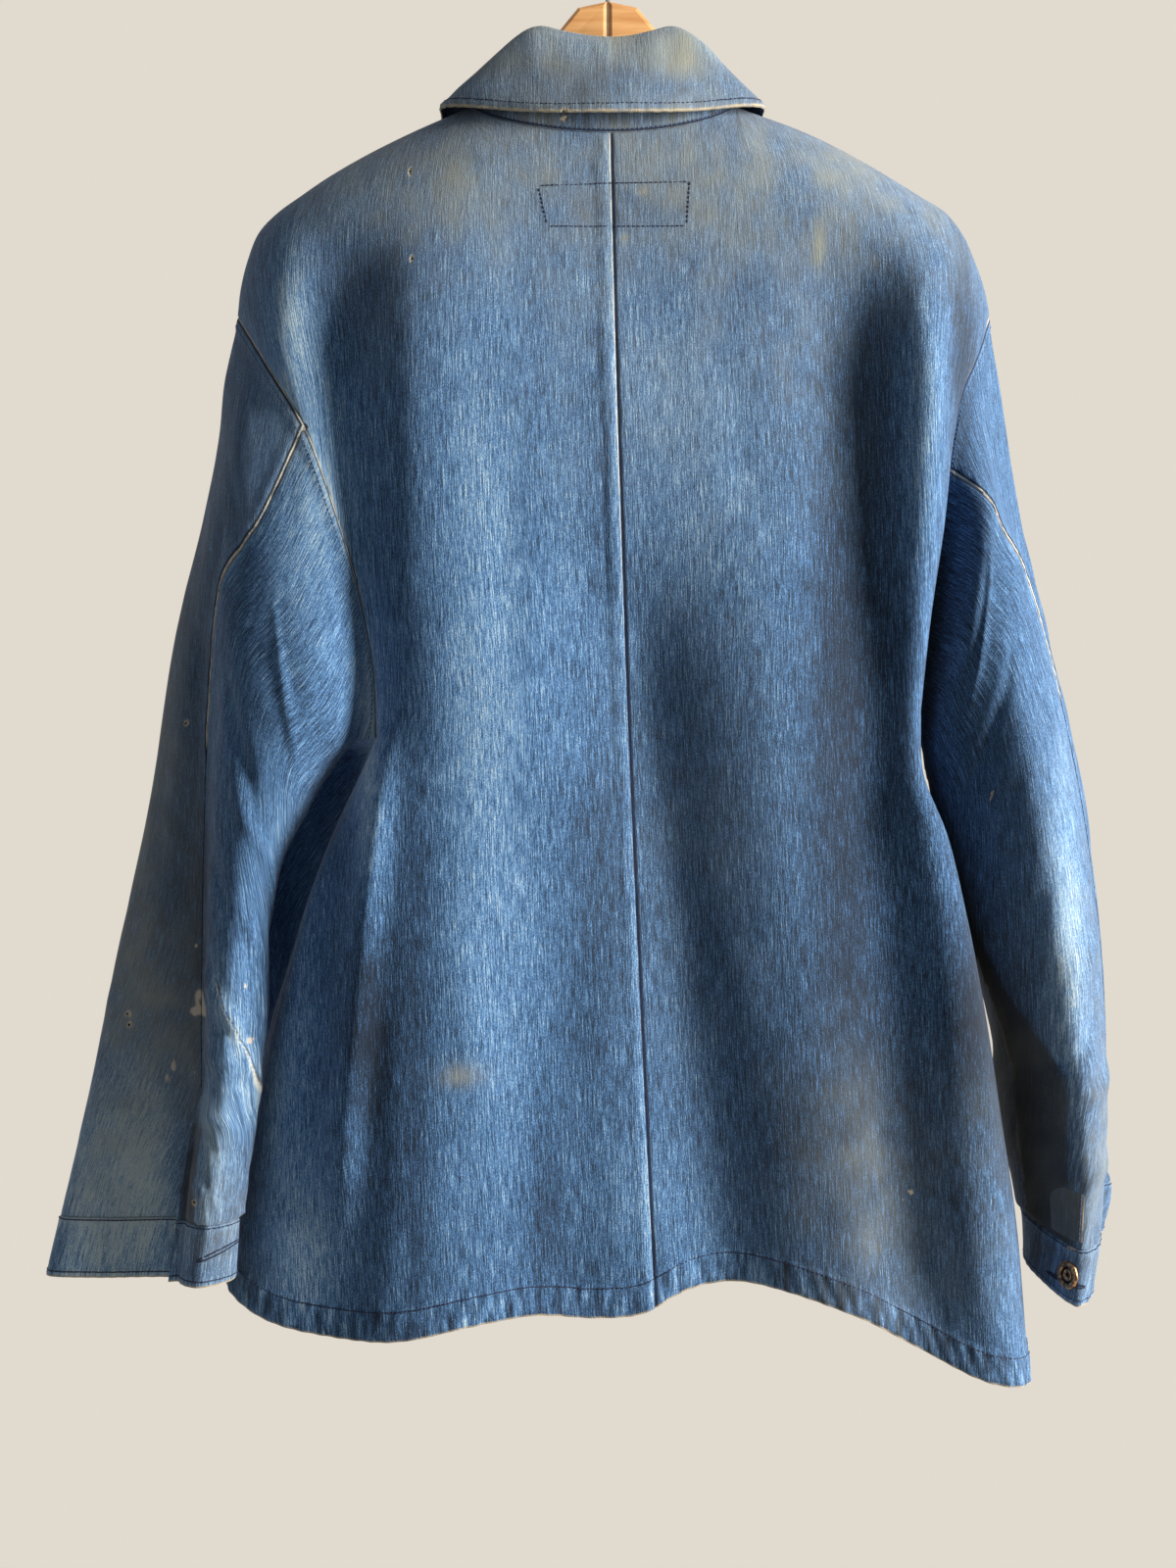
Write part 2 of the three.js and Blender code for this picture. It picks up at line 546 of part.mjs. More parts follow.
// The right cuff is flat under its button, between two places of its rounded section
const BUTTON_SINK = 1.5;
function button(label, place, way, lift = 0.45) {
  const shape = new THREE.LatheGeometry(BUTTON_PROFILE.map(([r, y]) => new THREE.Vector2(r, y)), 12);
  const mesh = new THREE.Mesh(shape, new THREE.MeshStandardMaterial(COPPER));
  mesh.name = label;
  const n = new THREE.Vector3(...way);
  mesh.quaternion.setFromUnitVectors(new THREE.Vector3(0, 1, 0), n);
  mesh.position.set(...add(place, way, lift));
  group.add(mesh);
}
[0.03, 0.21, 0.4, 0.58, 0.76].forEach((t, i) => {
  button(`button_front_${i + 1}`, body(-1, 1, 0, t), bodyFacing(-1, 1, 0, t));
});
button('button_cuff_left', sleeve(-1, 9.84, 0.968), sleeveFacing(-1, 9.84, 0.968), 1);
button('button_cuff_right', sleeve(1, 2.3, 0.968), sleeveFacing(1, 2.3, 0.968), -BUTTON_SINK);

// Wooden hanger arms, glued at the middle
const ARM_TOP = [[0, -62], [20, -66], [34, -83], [48, -98], [66, -121], [88, -146], [134, -157],
  [165, -170.6], [190, -184.6], [206, -195.8], [215, -207]];
const ARM_LOW = [[212, -215], [196, -210], [165, -197], [130, -184], [100, -174], [70, -152],
  [44, -130], [20, -121], [0, -120]];
for (const side of [-1, 1]) {
  const outline = [...ARM_TOP, ...ARM_LOW].map(([x, z]) => new THREE.Vector2(
    side * Math.max(x, SEAM_GAP / 2), z));
  const arm = new THREE.Shape(outline);
  const shape = new THREE.ExtrudeGeometry(arm, {
    depth: HANGER.thick - 2 * HANGER.bevel, bevelEnabled: true, bevelThickness: HANGER.bevel,
    bevelSize: HANGER.bevel, bevelOffset: -HANGER.bevel, bevelSegments: 2, curveSegments: 1,
  });
  shape.translate(0, 0, HANGER.bevel - HANGER.thick / 2);
  shape.rotateX(Math.PI / 2);
  const place = shape.attributes.position;
  for (let i = 0; i < place.count; i += 1) {
    place.setY(i, place.getY(i) + HANGER.bow * (place.getX(i) / 222) ** 2);
  }
  const mesh = new THREE.Mesh(shape, new THREE.MeshStandardMaterial(WOOD));
  mesh.name = `hanger_arm_${name(side)}`;
  group.add(mesh);
}

// Wire hook standing in the hanger's neck
const hookMiddle = HANGER.wire - HANGER.hook;
const hookPoints = [[0, -61.6], [0, -52], [3, -45]];
for (let angle = -50; angle <= 205; angle += 17) {
  const turn = angle * Math.PI / 180;
  hookPoints.push([HANGER.hook * Math.cos(turn), hookMiddle + HANGER.hook * Math.sin(turn)]);
}
const wire = new THREE.CatmullRomCurve3(hookPoints.map(([x, z]) => new THREE.Vector3(x, 0, z)));
const round = new THREE.Shape();
round.absarc(0, 0, HANGER.wire, 0, Math.PI * 2);
const hook = new THREE.Mesh(
  new THREE.ExtrudeGeometry(round, {
    steps: 34, extrudePath: wire, curveSegments: 4, bevelEnabled: false,
  }), new THREE.MeshStandardMaterial(STEEL));
hook.name = 'hanger_hook';
group.add(hook);

export default group;
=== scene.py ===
"""Shows a worn denim chore jacket that hangs back outward on a wooden hanger.

Each cloth piece is laid on the form of its solid in the frame and given its seams, stitches,
creases and wear, and painted light and painted shade that stand in for folds and cast shadows.
Lengths in the tables are in millimetres, in the frame's own axes.
"""

import math

import bpy
import numpy as np
from bpy.props import FloatProperty, IntProperty, PointerProperty
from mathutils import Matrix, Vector


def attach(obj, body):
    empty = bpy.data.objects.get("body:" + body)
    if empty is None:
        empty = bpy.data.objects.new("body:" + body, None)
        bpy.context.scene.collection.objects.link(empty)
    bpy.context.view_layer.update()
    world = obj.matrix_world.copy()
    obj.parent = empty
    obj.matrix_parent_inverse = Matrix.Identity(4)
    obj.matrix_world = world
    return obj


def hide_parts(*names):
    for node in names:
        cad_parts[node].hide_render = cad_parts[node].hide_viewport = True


bl_info = {
    "name": "Chore jacket on a hanger",
    "blender": (4, 5, 0),
    "version": (1, 0, 0),
    "location": "3D View > Sidebar > Jacket",
    "description": "Builds the cloth, sewing, buttons and stage of a hung chore jacket",
    "category": "Object",
}

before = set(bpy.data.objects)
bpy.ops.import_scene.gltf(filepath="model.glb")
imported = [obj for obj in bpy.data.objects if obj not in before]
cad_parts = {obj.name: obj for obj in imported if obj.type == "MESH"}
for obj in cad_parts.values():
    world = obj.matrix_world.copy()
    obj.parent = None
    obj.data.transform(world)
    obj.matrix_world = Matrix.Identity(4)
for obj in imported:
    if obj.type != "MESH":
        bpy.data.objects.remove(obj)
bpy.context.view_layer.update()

# Sizes of the cut, in mm
MM = 0.001
BACK_LENGTH = 762
NECK_BACK = (1, -50, -166)
NECK_FRONT = -204
NECK_RIDGE = 18.5
NECK_SHARE = 0.4
SHOULDER_ROLL = 66
UNDERARM_SHARE = 0.43
CENTRE_DRIFT = 29
FRONT_HEM_RISE = 14
COLLAR_ROLL = 5
CLOTH = 1.6
LAP = 2.6
SIDE_BULGE = 50
CUFF_SHARE = 0.935
CUFF_TILT = 0.18
FRONT_SEAM = 5.2
SLIT = {"share": 0.79, "run": 0.06, "near": 13, "under": 22, "press": 7}
SEAM_ON_ARMHOLE = {-1: 0.36, 1: 0.42}
SIDES = {-1: "left", 1: "right"}
HEM_BAND = 19
CUFF_STITCH = {"from_top": 2.2, "to_end": 4}
COLLAR_STITCH = 5

# Stage, in metres
CAMERA = (-0.0132, -1.150, -0.586)
LENS = 39.3
FLOOR_HEIGHT = -1.62
FLOOR_RADIUS = 1.08

# Shoulder line from neck to armhole: height, left x, right x, depth
SHOULDER = np.array([
    [-133, -92, 85, 0], [-151, -134, 135, 2], [-166, -165, 166, 4], [-180, -190, 191, 6],
    [-191, -207, 210, 8], [-201, -222, 227, 10], [-214, -235, 238, 11], [-232, -243, 247, 12],
    [-250, -248, 254, 12], [-268, -251, 259, 12],
], float)

# Armhole on the back (-1) and on the front (1), from shoulder to underarm: x, y, z
ARMHOLE = {
    (-1, -1): [[-251, 12, -268], [-224, -26, -310], [-194, -46, -360], [-176, -44, -411],
               [-163, -34, -460], [-154, -26, -510], [-152, -20, -556]],
    (-1, 1): [[-251, 12, -268], [-241, 31, -290], [-227, 41, -322], [-200, 45, -380],
              [-178, 40, -440], [-162, 20, -506], [-152, -20, -556]],
    (1, -1): [[259, 12, -268], [246, -6, -300], [232, -18, -330], [226, -18, -356],
              [219, -10, -420], [211, 0, -480], [205, 5, -540]],
    (1, 1): [[259, 12, -268], [252, 31, -288], [241, 41, -318], [226, 45, -380],
             [216, 40, -440], [209, 26, -500], [205, 5, -540]],
}

# Side seam from underarm to hem: x, y, z
SIDE_SEAM = {
    -1: [[-152, -20, -556], [-164, -10, -580], [-180, -4, -612], [-197, -2, -655],
         [-213, 2, -706], [-227, 6, -760], [-241, 12, -836], [-257, 18, -922]],
    1: [[205, 5, -540], [206, 5, -580], [222, 4, -620], [234, 2, -670],
        [246, 0, -730], [257, -2, -800], [267, -6, -872], [275, -14, -974]],
}

# Back hem: x, z
HEM = np.array([
    [-257, -922], [-231, -935], [-182, -944], [-131, -941], [-90, -933], [-54, -929],
    [-6, -932], [25, -928], [45, -918], [79, -911], [116, -914], [160, -928], [197, -947],
    [238, -966], [275, -974],
], float)

# Hanging depth of the middle of the back and of the front: z, back y, front y
DEPTH = np.array([
    [-130, -40, 30], [-210, -54, 44], [-320, -52, 46], [-480, -48, 44], [-700, -47, 44],
    [-960, -48, 44],
], float)

# Long soft folds: x at top, x at bottom, top z, bottom z, left width, right width, height out
BACK_FOLDS = [
    [-120, -134, -240, -990, 34, 80, 17],
    [-184, -158, -250, -560, 22, 28, -15],
    [-146, -174, -556, -850, 17, 12, 17],
    [12, 88, -470, -990, 46, 34, -17],
    [92, 168, -400, -990, 40, 46, 8],
    [156, 200, -270, -930, 40, 26, -12],
    [208, 205, -240, -610, 24, 18, 18],
    [222, 262, -590, -1000, 40, 20, 21],
    [-34, -22, -640, -990, 42, 40, -9],
]
FRONT_FOLDS = [
    [-130, -150, -320, -990, 40, 50, 12],
    [-60, -40, -560, -990, 30, 40, -9],
    [70, 90, -520, -990, 40, 40, -9],
    [140, 190, -300, -990, 46, 40, 13],
]

# Sleeve sections from armhole to cuff end: share of length, outer x, outer z, inner x, inner z,
# back seam x, back seam y, crest x, crest y, inner y, outer y, front x, front y
SLEEVE = {
    -1: [
        [0.10, -258, -312, -170, -560, -223, -44, -184, -54, -16, 8, -218, 44],
        [0.19, -263, -352, -184, -578, -236, -40, -196, -56, -16, 12, -230, 47],
        [0.28, -274, -402, -197, -602, -254, -28, -212, -56, -18, 18, -246, 50],
        [0.40, -296, -482, -213, -632, -266, -10, -230, -54, -20, 27, -266, 52],
        [0.55, -315, -596, -222, -676, -270, -8, -238, -50, -22, 31, -280, 54],
        [0.70, -336, -706, -227, -740, -271, -10, -244, -50, -24, 20, -292, 54],
        [0.83, -350, -796, -235, -812, -270, -20, -248, -54, -30, 4, -300, 54],
        [0.935, -366, -874, -241, -868, -279, -24, -256, -54, -32, -4, -308, 50],
        [1.00, -375, -914, -244, -908, -284, -24, -262, -54, -32, -6, -314, 46],
    ],
    1: [
        [0.10, 266, -314, 213, -562, 248, -31, 229, -44, -2, 14, 240, 42],
        [0.19, 273, -356, 218, -584, 258, -30, 236, -50, 2, 18, 246, 46],
        [0.28, 283, -410, 223, -606, 273, -24, 250, -54, 6, 20, 254, 50],
        [0.40, 302, -490, 232, -640, 294, -18, 266, -56, 10, 20, 262, 52],
        [0.55, 326, -600, 246, -690, 317, -12, 281, -56, 22, 20, 284, 54],
        [0.70, 336, -708, 263, -750, 330, -8, 296, -54, 32, 22, 306, 58],
        [0.83, 335, -800, 274, -812, 332, -8, 306, -52, 36, 24, 318, 62],
        [0.935, 335, -884, 284, -884, 325, -18, 303, -54, 22, 30, 356, 60],
        [1.00, 326, -922, 284, -920, 317, -22, 300, -54, 16, 34, 350, 60],
    ],
}


# Curves and surfaces in mm
def mix(a, b, w):
    """Part of the way from a to b."""
    return a + (b - a) * w


def clamp(v):
    """A value held between 0 and 1."""
    return np.clip(v, 0.0, 1.0)


def ease(v):
    """A soft step from 0 to 1."""
    v = clamp(v)
    return v * v * (3 - 2 * v)


def bump(v, width):
    """A soft hump of height 1."""
    return np.exp(-((v / width) ** 2))


def hermite(w, start, end, lean_start, lean_end, span):
    """A smooth value between two places, run on straight outside them."""
    v = clamp(w)
    v2, v3 = v * v, v * v * v
    inside = (start * (2 * v3 - 3 * v2 + 1) + lean_start * span * (v3 - 2 * v2 + v)
              + end * (3 * v2 - 2 * v3) + lean_end * span * (v3 - v2))
    return inside + (w - v) * span * np.where(w < 0, lean_start, lean_end)


def smooth(keys, values, at):
    """A smooth value through rows of a table, keyed by a rising list."""
    keys, values = np.asarray(keys, float), np.asarray(values, float)
    at = np.asarray(at, float)
    gap = np.diff(keys)
    wide = (-1,) + (1,) * (values.ndim - 1)
    slope = np.diff(values, axis=0) / gap.reshape(wide)
    lean = np.concatenate([slope[:1], slope[-1:]])
    if len(keys) > 2:
        before, after = gap[:-1].reshape(wide), gap[1:].reshape(wide)
        middle = (slope[:-1] * after + slope[1:] * before) / (before + after)
        lean = np.concatenate([slope[:1], middle, slope[-1:]])
    i = np.clip(np.searchsorted(keys, at) - 1, 0, len(keys) - 2)
    more = at.shape + (1,) * (values.ndim - 1)
    span = gap[i].reshape(more)
    w = ((at - keys[i]) / gap[i]).reshape(more)
    return hermite(w, values[i], values[i + 1], lean[i], lean[i + 1], span)


def along(points, w):
    """A place on a smooth path through points, from 0 to 1 by length."""
    points = np.asarray(points, float)
    keys = np.concatenate([[0], np.cumsum(np.linalg.norm(np.diff(points, axis=0), axis=1))])
    return smooth(keys, points, np.asarray(w, float) * keys[-1])


def centre_x(z):
    """The centre line drifts sideways as the jacket hangs."""
    return NECK_BACK[0] + CENTRE_DRIFT * np.maximum(0, (NECK_BACK[2] - z) / BACK_LENGTH) ** 1.3


def fold_lift(folds, x, z):
    """How far long folds lift the cloth at a place."""
    lift = 0
    for x_top, x_low, z_top, z_low, left, right, out in folds:
        away = x - mix(x_top, x_low, (z_top - z) / (z_top - z_low))
        width = np.where(away < 0, left, right)
        ends = ease((z_top - z) / 150 + 0.5) * ease((z - z_low) / 90 + 0.5)
        lift = lift + out * ends * np.exp(-((away / width) ** 2))
    return lift


def top_edge(side, face, s):
    """Top edge of a body panel: neckline, then shoulder."""
    low = NECK_BACK[2] if face < 0 else NECK_FRONT
    shoulder = np.stack([SHOULDER[:, 1 if side < 0 else 2], SHOULDER[:, 3], SHOULDER[:, 0]], -1)
    neck = shoulder[0]
    turn = clamp(s / NECK_SHARE) * math.pi / 2
    middle = centre_x(low)
    round_neck = np.stack([middle + (neck[0] - middle) * np.sin(turn), turn * 0,
                           low + (neck[2] - low) * (1 - np.cos(turn))], -1)
    out = along(shoulder, clamp((s - NECK_SHARE) / (1 - NECK_SHARE)))
    return np.where((s <= NECK_SHARE)[..., None], round_neck, out)


def outer_edge(side, face, t):
    """Outer edge of a body panel: armhole, then side seam."""
    arm = along(ARMHOLE[side, face], np.minimum(t / UNDERARM_SHARE, 1))
    seam = along(SIDE_SEAM[side], np.maximum((t - UNDERARM_SHARE) / (1 - UNDERARM_SHARE), 0))
    return np.where((t <= UNDERARM_SHARE)[..., None], arm, seam)


def body(side, face, s, t):
    """A point of the body: s from centre to side, t from top to hem."""
    s, t = np.broadcast_arrays(np.asarray(s, float), np.asarray(t, float))
    top, top_mid = top_edge(side, face, s), top_edge(side, face, s * 0)
    top_end, edge = top_edge(side, face, s * 0 + 1), outer_edge(side, face, t)
    edge_end = outer_edge(side, face, t * 0 + 1)
    hem_mid = NECK_BACK[2] - BACK_LENGTH
    mid_z = mix(top_mid[..., 2], hem_mid, t)
    hem_x = mix(centre_x(hem_mid), edge_end[..., 0], s)
    hem = smooth(HEM[:, 0], HEM[:, 1], hem_x)
    if face > 0:
        hem = mix(hem_mid, edge_end[..., 2], ease(s)) + FRONT_HEM_RISE * (1 - np.abs(s) ** 4)
    high, low = (1 - t) ** 3, t ** 3
    x = (mix(centre_x(mid_z), edge[..., 0], s)
         + high * (top[..., 0] - mix(top_mid[..., 0], top_end[..., 0], s))
         + low * (hem_x - mix(centre_x(hem_mid), edge_end[..., 0], s)))
    z = (mix(mid_z, edge[..., 2], s) + high * (top[..., 2] - mix(top_mid[..., 2], top_end[..., 2], s))
         + low * (hem - mix(hem_mid, edge_end[..., 2], s)))
    neck_turn = clamp(s / NECK_SHARE) * math.pi / 2
    ridge_z = np.where(s < NECK_SHARE, SHOULDER[0, 0] + NECK_RIDGE * np.cos(neck_turn) ** 2, top[..., 2])
    ridge_y = np.where(s < NECK_SHARE, 0, top[..., 1])
    below = np.maximum(0, ridge_z - z)
    roll = 1 - clamp(below / SHOULDER_ROLL)
    folds = -fold_lift(BACK_FOLDS, x, z) if face < 0 else fold_lift(FRONT_FOLDS, x, z)
    depth = smooth(-DEPTH[:, 0], DEPTH[:, 1 if face < 0 else 2], -z)
    full = ridge_y + (depth - ridge_y) * np.sqrt(1 - roll * roll) + folds * ease(below / 110)
    blunt = mix(3.2, 6 if face < 0 and side > 0 else 3.2, clamp(t * 6))
    across = np.maximum(0, 1 - np.abs(s) ** blunt) ** (1 / blunt)
    lap = bulge = 0
    if face > 0 and side < 0:
        lap = LAP * ease((0.2 - s) / 0.1)
        bulge = (SIDE_BULGE * np.sin(math.pi * clamp((s - 0.8) / 0.2))
                 * ease((t - UNDERARM_SHARE) / 0.022) * (1 - ease((t - 0.6) / 0.35)))
    return np.stack([x - bulge, edge[..., 1] + (full - edge[..., 1]) * across + lap, z], -1)


def sleeve_corners(side, row):
    """Corners of a sleeve section, round from the back seam over the crest and inner edge."""
    share, xo, zo, xi, zi, xs, ys, xc, yc, yi, yo, xf, yf = row
    tuck = mix(0.6, 0.2, ease((share - 0.1) / 0.3)) if side < 0 else 0.78
    last = ([mix(xo, xs, 0.42), mix(yo, ys, 0.72)] if side < 0
            else [mix(xo, xs, 0.6), mix(yo, ys, 0.5)])
    flat = np.array([
        [xs, ys], [mix(xs, xc, 0.42), mix(ys, yc, 0.72)], [xc, yc],
        [mix(xc, xi, 0.86), mix(yc, yi, 0.5)], [xi, yi],
        [mix(xi, xf, 0.42), mix(yi, yf, tuck)], [xf, yf], [mix(xf, xo, 0.66), mix(yf, yo, 0.36)],
        [xo, yo], last])
    tilt = CUFF_TILT * ease((share - 0.7) / 0.3) if side > 0 else 0
    z = mix(zo, zi, (flat[:, 0] - xo) / (xi - xo)) + tilt * (flat[:, 1] + 54)
    return np.column_stack([flat, z])


def armhole_point(side, q):
    """The same places on the armhole."""
    start = SEAM_ON_ARMHOLE[side]
    back = np.where(q <= 4, mix(start, 1, q / 4), start * (q - 8) / 2)
    front = 1 - (q - 4) / 4
    on_front = ((q > 4) & (q <= 8))[..., None]
    return np.where(on_front, along(ARMHOLE[side, 1], clamp(front)),
                    along(ARMHOLE[side, -1], clamp(back)))


def section_point(side, row, q):
    """A place on one sleeve section."""
    corners = sleeve_corners(side, row)
    at = np.floor(q).astype(int) % 10
    near = [corners[(at + k) % 10] for k in (-1, 0, 1, 2)]
    gap = [np.sqrt(np.linalg.norm(b - a, axis=-1) + 1e-6)[..., None]
           for a, b in zip(near[:-1], near[1:])]
    slope = [(b - a) / g for a, b, g in zip(near[:-1], near[1:], gap)]
    lean = [(slope[k] * gap[k + 1] + slope[k + 1] * gap[k]) / (gap[k] + gap[k + 1]) for k in (0, 1)]
    w = (q - np.floor(q))[..., None]
    return hermite(w, near[1], near[2], lean[0], lean[1], gap[1])


def sleeve(side, q, t):
    """A point of the sleeve: q round the section from 0 to 10, t from armhole to cuff end."""
    q, t = np.asarray(q, float), np.asarray(t, float)
    keys = [0] + [row[0] for row in SLEEVE[side]]
    rows = [armhole_point(side, q)] + [section_point(side, row, q) for row in SLEEVE[side]]
    place = smooth(keys, np.array(rows), t)
    if side < 0:
        near = clamp(1 - q) ** 2 * ease((t - SLIT["share"]) / SLIT["run"])[:, None]
        under = clamp(q - 9) ** 2 * ease((t - SLIT["share"] - SLIT["run"]) / SLIT["run"])[:, None]
        place[..., 0] += SLIT["under"] * under - 2 * near
        place[..., 1] -= SLIT["press"] * under + SLIT["near"] * near
    return np.swapaxes(place, 0, 1)


def neckline(w):
    """Neck seam from the left front middle (-1) over the back (0) to the right front middle (1)."""
    half = np.abs(w)
    out = np.zeros(w.shape + (3,))
    for side in SIDES:
        for face in (-1, 1):
            pick = ((w < 0) == (side < 0)) & ((half <= 0.5) == (face < 0))
            s = half * 2 * NECK_SHARE if face < 0 else (1 - half) * 2 * NECK_SHARE
            out = np.where(pick[..., None], body(side, face, s, w * 0), out)
    return out


def collar_sizes(w):
    """Gap, rise and lean of the stand, and drop and flare of the leaf, round the neck."""
    half = np.abs(w)
    backness = np.cos(np.minimum(1, half * 2) * math.pi / 2)
    frontness = clamp(half * 2 - 1)
    rise = 10 + 52 * ease(1.2 * backness) ** 1.6 + 14 * frontness
    return {
        "gap": 0.6 + 7 * backness * (1 - backness),
        "rise": rise,
        "lean": 0.5 - 0.22 * backness - 0.25 * frontness,
        "drop": rise - 14 * backness + 5 + 27 * ease(frontness),
        "flare": 17 + 4 * backness - 5 * frontness + 16 * np.sin(math.pi * frontness),
    }


def outward(base, sign=1):
    """Level direction away from the middle of the neck."""
    way = np.stack([base[..., 0] - NECK_BACK[0], base[..., 1], base[..., 0] * 0], -1) * sign
    return way / np.linalg.norm(way, axis=-1, keepdims=True)


def collar_stand(w, h):
    """A point of the stand: w round the neck, h up from the seam."""
    base, sizes = neckline(w), collar_sizes(w)
    start = 0.3 + 1.6 * clamp((np.abs(w) - 0.5) * 20)
    up = np.stack([w * 0, w * 0, start + sizes["rise"] * h], -1)
    return base + up + outward(base, -1) * (sizes["rise"] * sizes["lean"] * h)[..., None]


def collar_leaf(w, h):
    """A point of the turned-down leaf: h from the stand over the roll to the edge."""
    sizes, way = collar_sizes(w), outward(neckline(w))
    turn = clamp(h / 0.4) * math.pi * 0.86
    fall = clamp((h - 0.4) / 0.6)
    out = mix(-COLLAR_ROLL * np.cos(turn), COLLAR_ROLL + sizes["flare"], fall ** 0.7)
    up = sizes["gap"] + mix(COLLAR_ROLL * np.sin(turn), -sizes["drop"], fall)
    place = collar_stand(w, w * 0 + 1) + way * (COLLAR_ROLL - CLOTH + out)[..., None]
    place[..., 2] += up
    return place


def mottle(a, b, size, seed):
    """Smooth uneven values from -1 to 1, about one swell for each size."""
    grid = np.random.default_rng(seed).random((98, 98)) * 2 - 1
    a, b = np.asarray(a) / size % 96, np.asarray(b) / size % 96
    i, j = a.astype(int), b.astype(int)
    wa, wb = ease(a - i), ease(b - j)
    return mix(mix(grid[i, j], grid[i + 1, j], wa), mix(grid[i, j + 1], grid[i + 1, j + 1], wa), wb)


# Creases pressed in by wear: x and z of both ends, half width, height out
BACK_CREASES = [
    [-6, -240, 8, -470, 7, 1.0], [70, -300, 92, -430, 11, -1.4], [-70, -330, -58, -560, 12, -1.2],
    [118, -330, 128, -520, 10, 1.2], [60, -600, 96, -760, 14, 1.6], [-96, -640, -84, -830, 13, 1.4],
    [-150, -800, -196, -930, 10, 1.7], [-128, -860, -140, -940, 9, -1.6], [196, -640, 214, -820, 10, -1.5],
    [150, -830, 172, -940, 12, 1.5], [228, -840, 250, -958, 9, 1.6], [26, -850, 44, -925, 11, 1.4],
    [-34, -880, -30, -930, 9, -1.2], [-214, -760, -240, -900, 8, -1.4], [208, -860, 214, -962, 7, -1.2],
    [-205, -240, -150, -300, 15, 1.3], [215, -250, 170, -330, 14, 1.1], [-166, -420, -120, -470, 9, 1.0],
    [200, -430, 160, -500, 9, 0.9],
]
FRONT_CREASES = [
    [-120, -360, -100, -560, 12, 1.5], [-60, -640, -76, -860, 13, -1.4], [90, -380, 76, -600, 12, -1.4],
    [150, -700, 176, -900, 11, 1.5], [-200, -760, -220, -900, 9, 1.4], [30, -760, 36, -900, 12, 1.2],
]
# Sleeve creases: round and along at both ends, half width along, height out
SLEEVE_CREASES = {
    -1: [
        [1.0, 0.16, 2.6, 0.26, 0.018, 2.2], [0.4, 0.30, 2.2, 0.40, 0.020, -2.0],
        [1.5, 0.40, 3.6, 0.49, 0.022, 2.4], [0.2, 0.52, 1.8, 0.57, 0.018, -1.6],
        [1.9, 0.57, 3.7, 0.62, 0.016, 1.9], [0.3, 0.665, 2.4, 0.70, 0.011, 2.3],
        [0.8, 0.715, 3.4, 0.725, 0.010, -2.3], [0.2, 0.745, 2.6, 0.76, 0.010, 2.2],
        [1.2, 0.79, 3.5, 0.775, 0.010, -1.9], [0.6, 0.815, 3.0, 0.83, 0.009, 2.1],
        [1.0, 0.86, 3.2, 0.85, 0.009, -1.8], [0.4, 0.885, 2.4, 0.905, 0.009, 1.7],
        [7.4, 0.30, 8.8, 0.38, 0.02, 1.6], [7.2, 0.62, 8.9, 0.68, 0.014, -1.8],
        [7.6, 0.74, 9.2, 0.71, 0.012, 1.8], [8.2, 0.80, 9.6, 0.86, 0.014, -1.4],
    ],
    1: [
        [0.6, 0.14, 2.4, 0.22, 0.016, 1.8], [1.4, 0.28, 3.2, 0.34, 0.018, -1.6],
        [0.2, 0.42, 1.7, 0.47, 0.020, 1.6], [1.6, 0.55, 3.2, 0.60, 0.016, -1.6],
        [0.4, 0.66, 2.0, 0.69, 0.013, 1.8], [1.0, 0.73, 2.8, 0.76, 0.011, -2.0],
        [0.3, 0.79, 2.2, 0.80, 0.010, 2.1], [1.3, 0.835, 3.0, 0.85, 0.009, -2.0],
        [0.2, 0.865, 2.2, 0.885, 0.009, 2.2], [1.4, 0.90, 3.0, 0.91, 0.008, -1.5],
        [8.6, 0.34, 9.8, 0.40, 0.018, -1.4], [8.4, 0.68, 9.8, 0.74, 0.014, 1.8],
        [7.2, 0.76, 8.8, 0.72, 0.014, -1.6], [8.2, 0.85, 9.7, 0.82, 0.011, -1.5],
    ],
}

# Paler (above 0) and darker (below 0) places: x, z, half width, half height, strength. Some are faded dye;
# many are painted light and painted shade that stand in for lit fold slopes and for the shadow the sleeves
# cast on the back.
FADES_AND_PAINTED_LIGHT = [
    [0, -195, 160, 46, 0.3], [150, -205, 60, 40, 0.2], [-205, -285, 16, 56, 1.1],
    [-165, -205, 30, 30, 0.5], [-150, -280, 22, 60, -0.1], [60, -400, 50, 90, 0.45],
    [-78, -520, 34, 300, 0.65], [-28, -400, 12, 200, 0.2], [30, -300, 40, 60, 0.35],
    [170, -480, 34, 200, -0.5], [148, -560, 24, 200, -0.75], [165, -800, 30, 130, -0.7],
    [120, -800, 24, 60, -0.5], [-124, -740, 12, 150, -0.6], [-40, -860, 14, 60, -0.6],
    [-155, -570, 11, 90, 1.3], [-152, -745, 12, 70, -1.3], [-190, -400, 30, 90, 0.8],
    [-205, -720, 16, 120, 0.5], [-8, -640, 20, 90, -0.4], [20, -860, 24, 50, 0.3],
    [-198, -890, 26, 60, 0.9], [200, -360, 14, 90, 1.0], [230, -300, 12, 70, -0.9],
    [230, -430, 20, 90, -0.3], [240, -600, 26, 110, -0.3], [234, -740, 16, 70, -1.3],
    [262, -790, 18, 60, -1.2], [294, -700, 14, 110, 1.1], [-272, -690, 12, 90, -0.6],
    [-340, -850, 34, 110, 1.3], [-303, -840, 22, 80, 1.3], [-330, -420, 60, 130, -0.35],
    [-246, -750, 18, 60, 0.6], [-222, -790, 12, 50, 0.5], [60, -900, 40, 40, 0.2],
    [6, -216, 50, 15, -0.3],
]
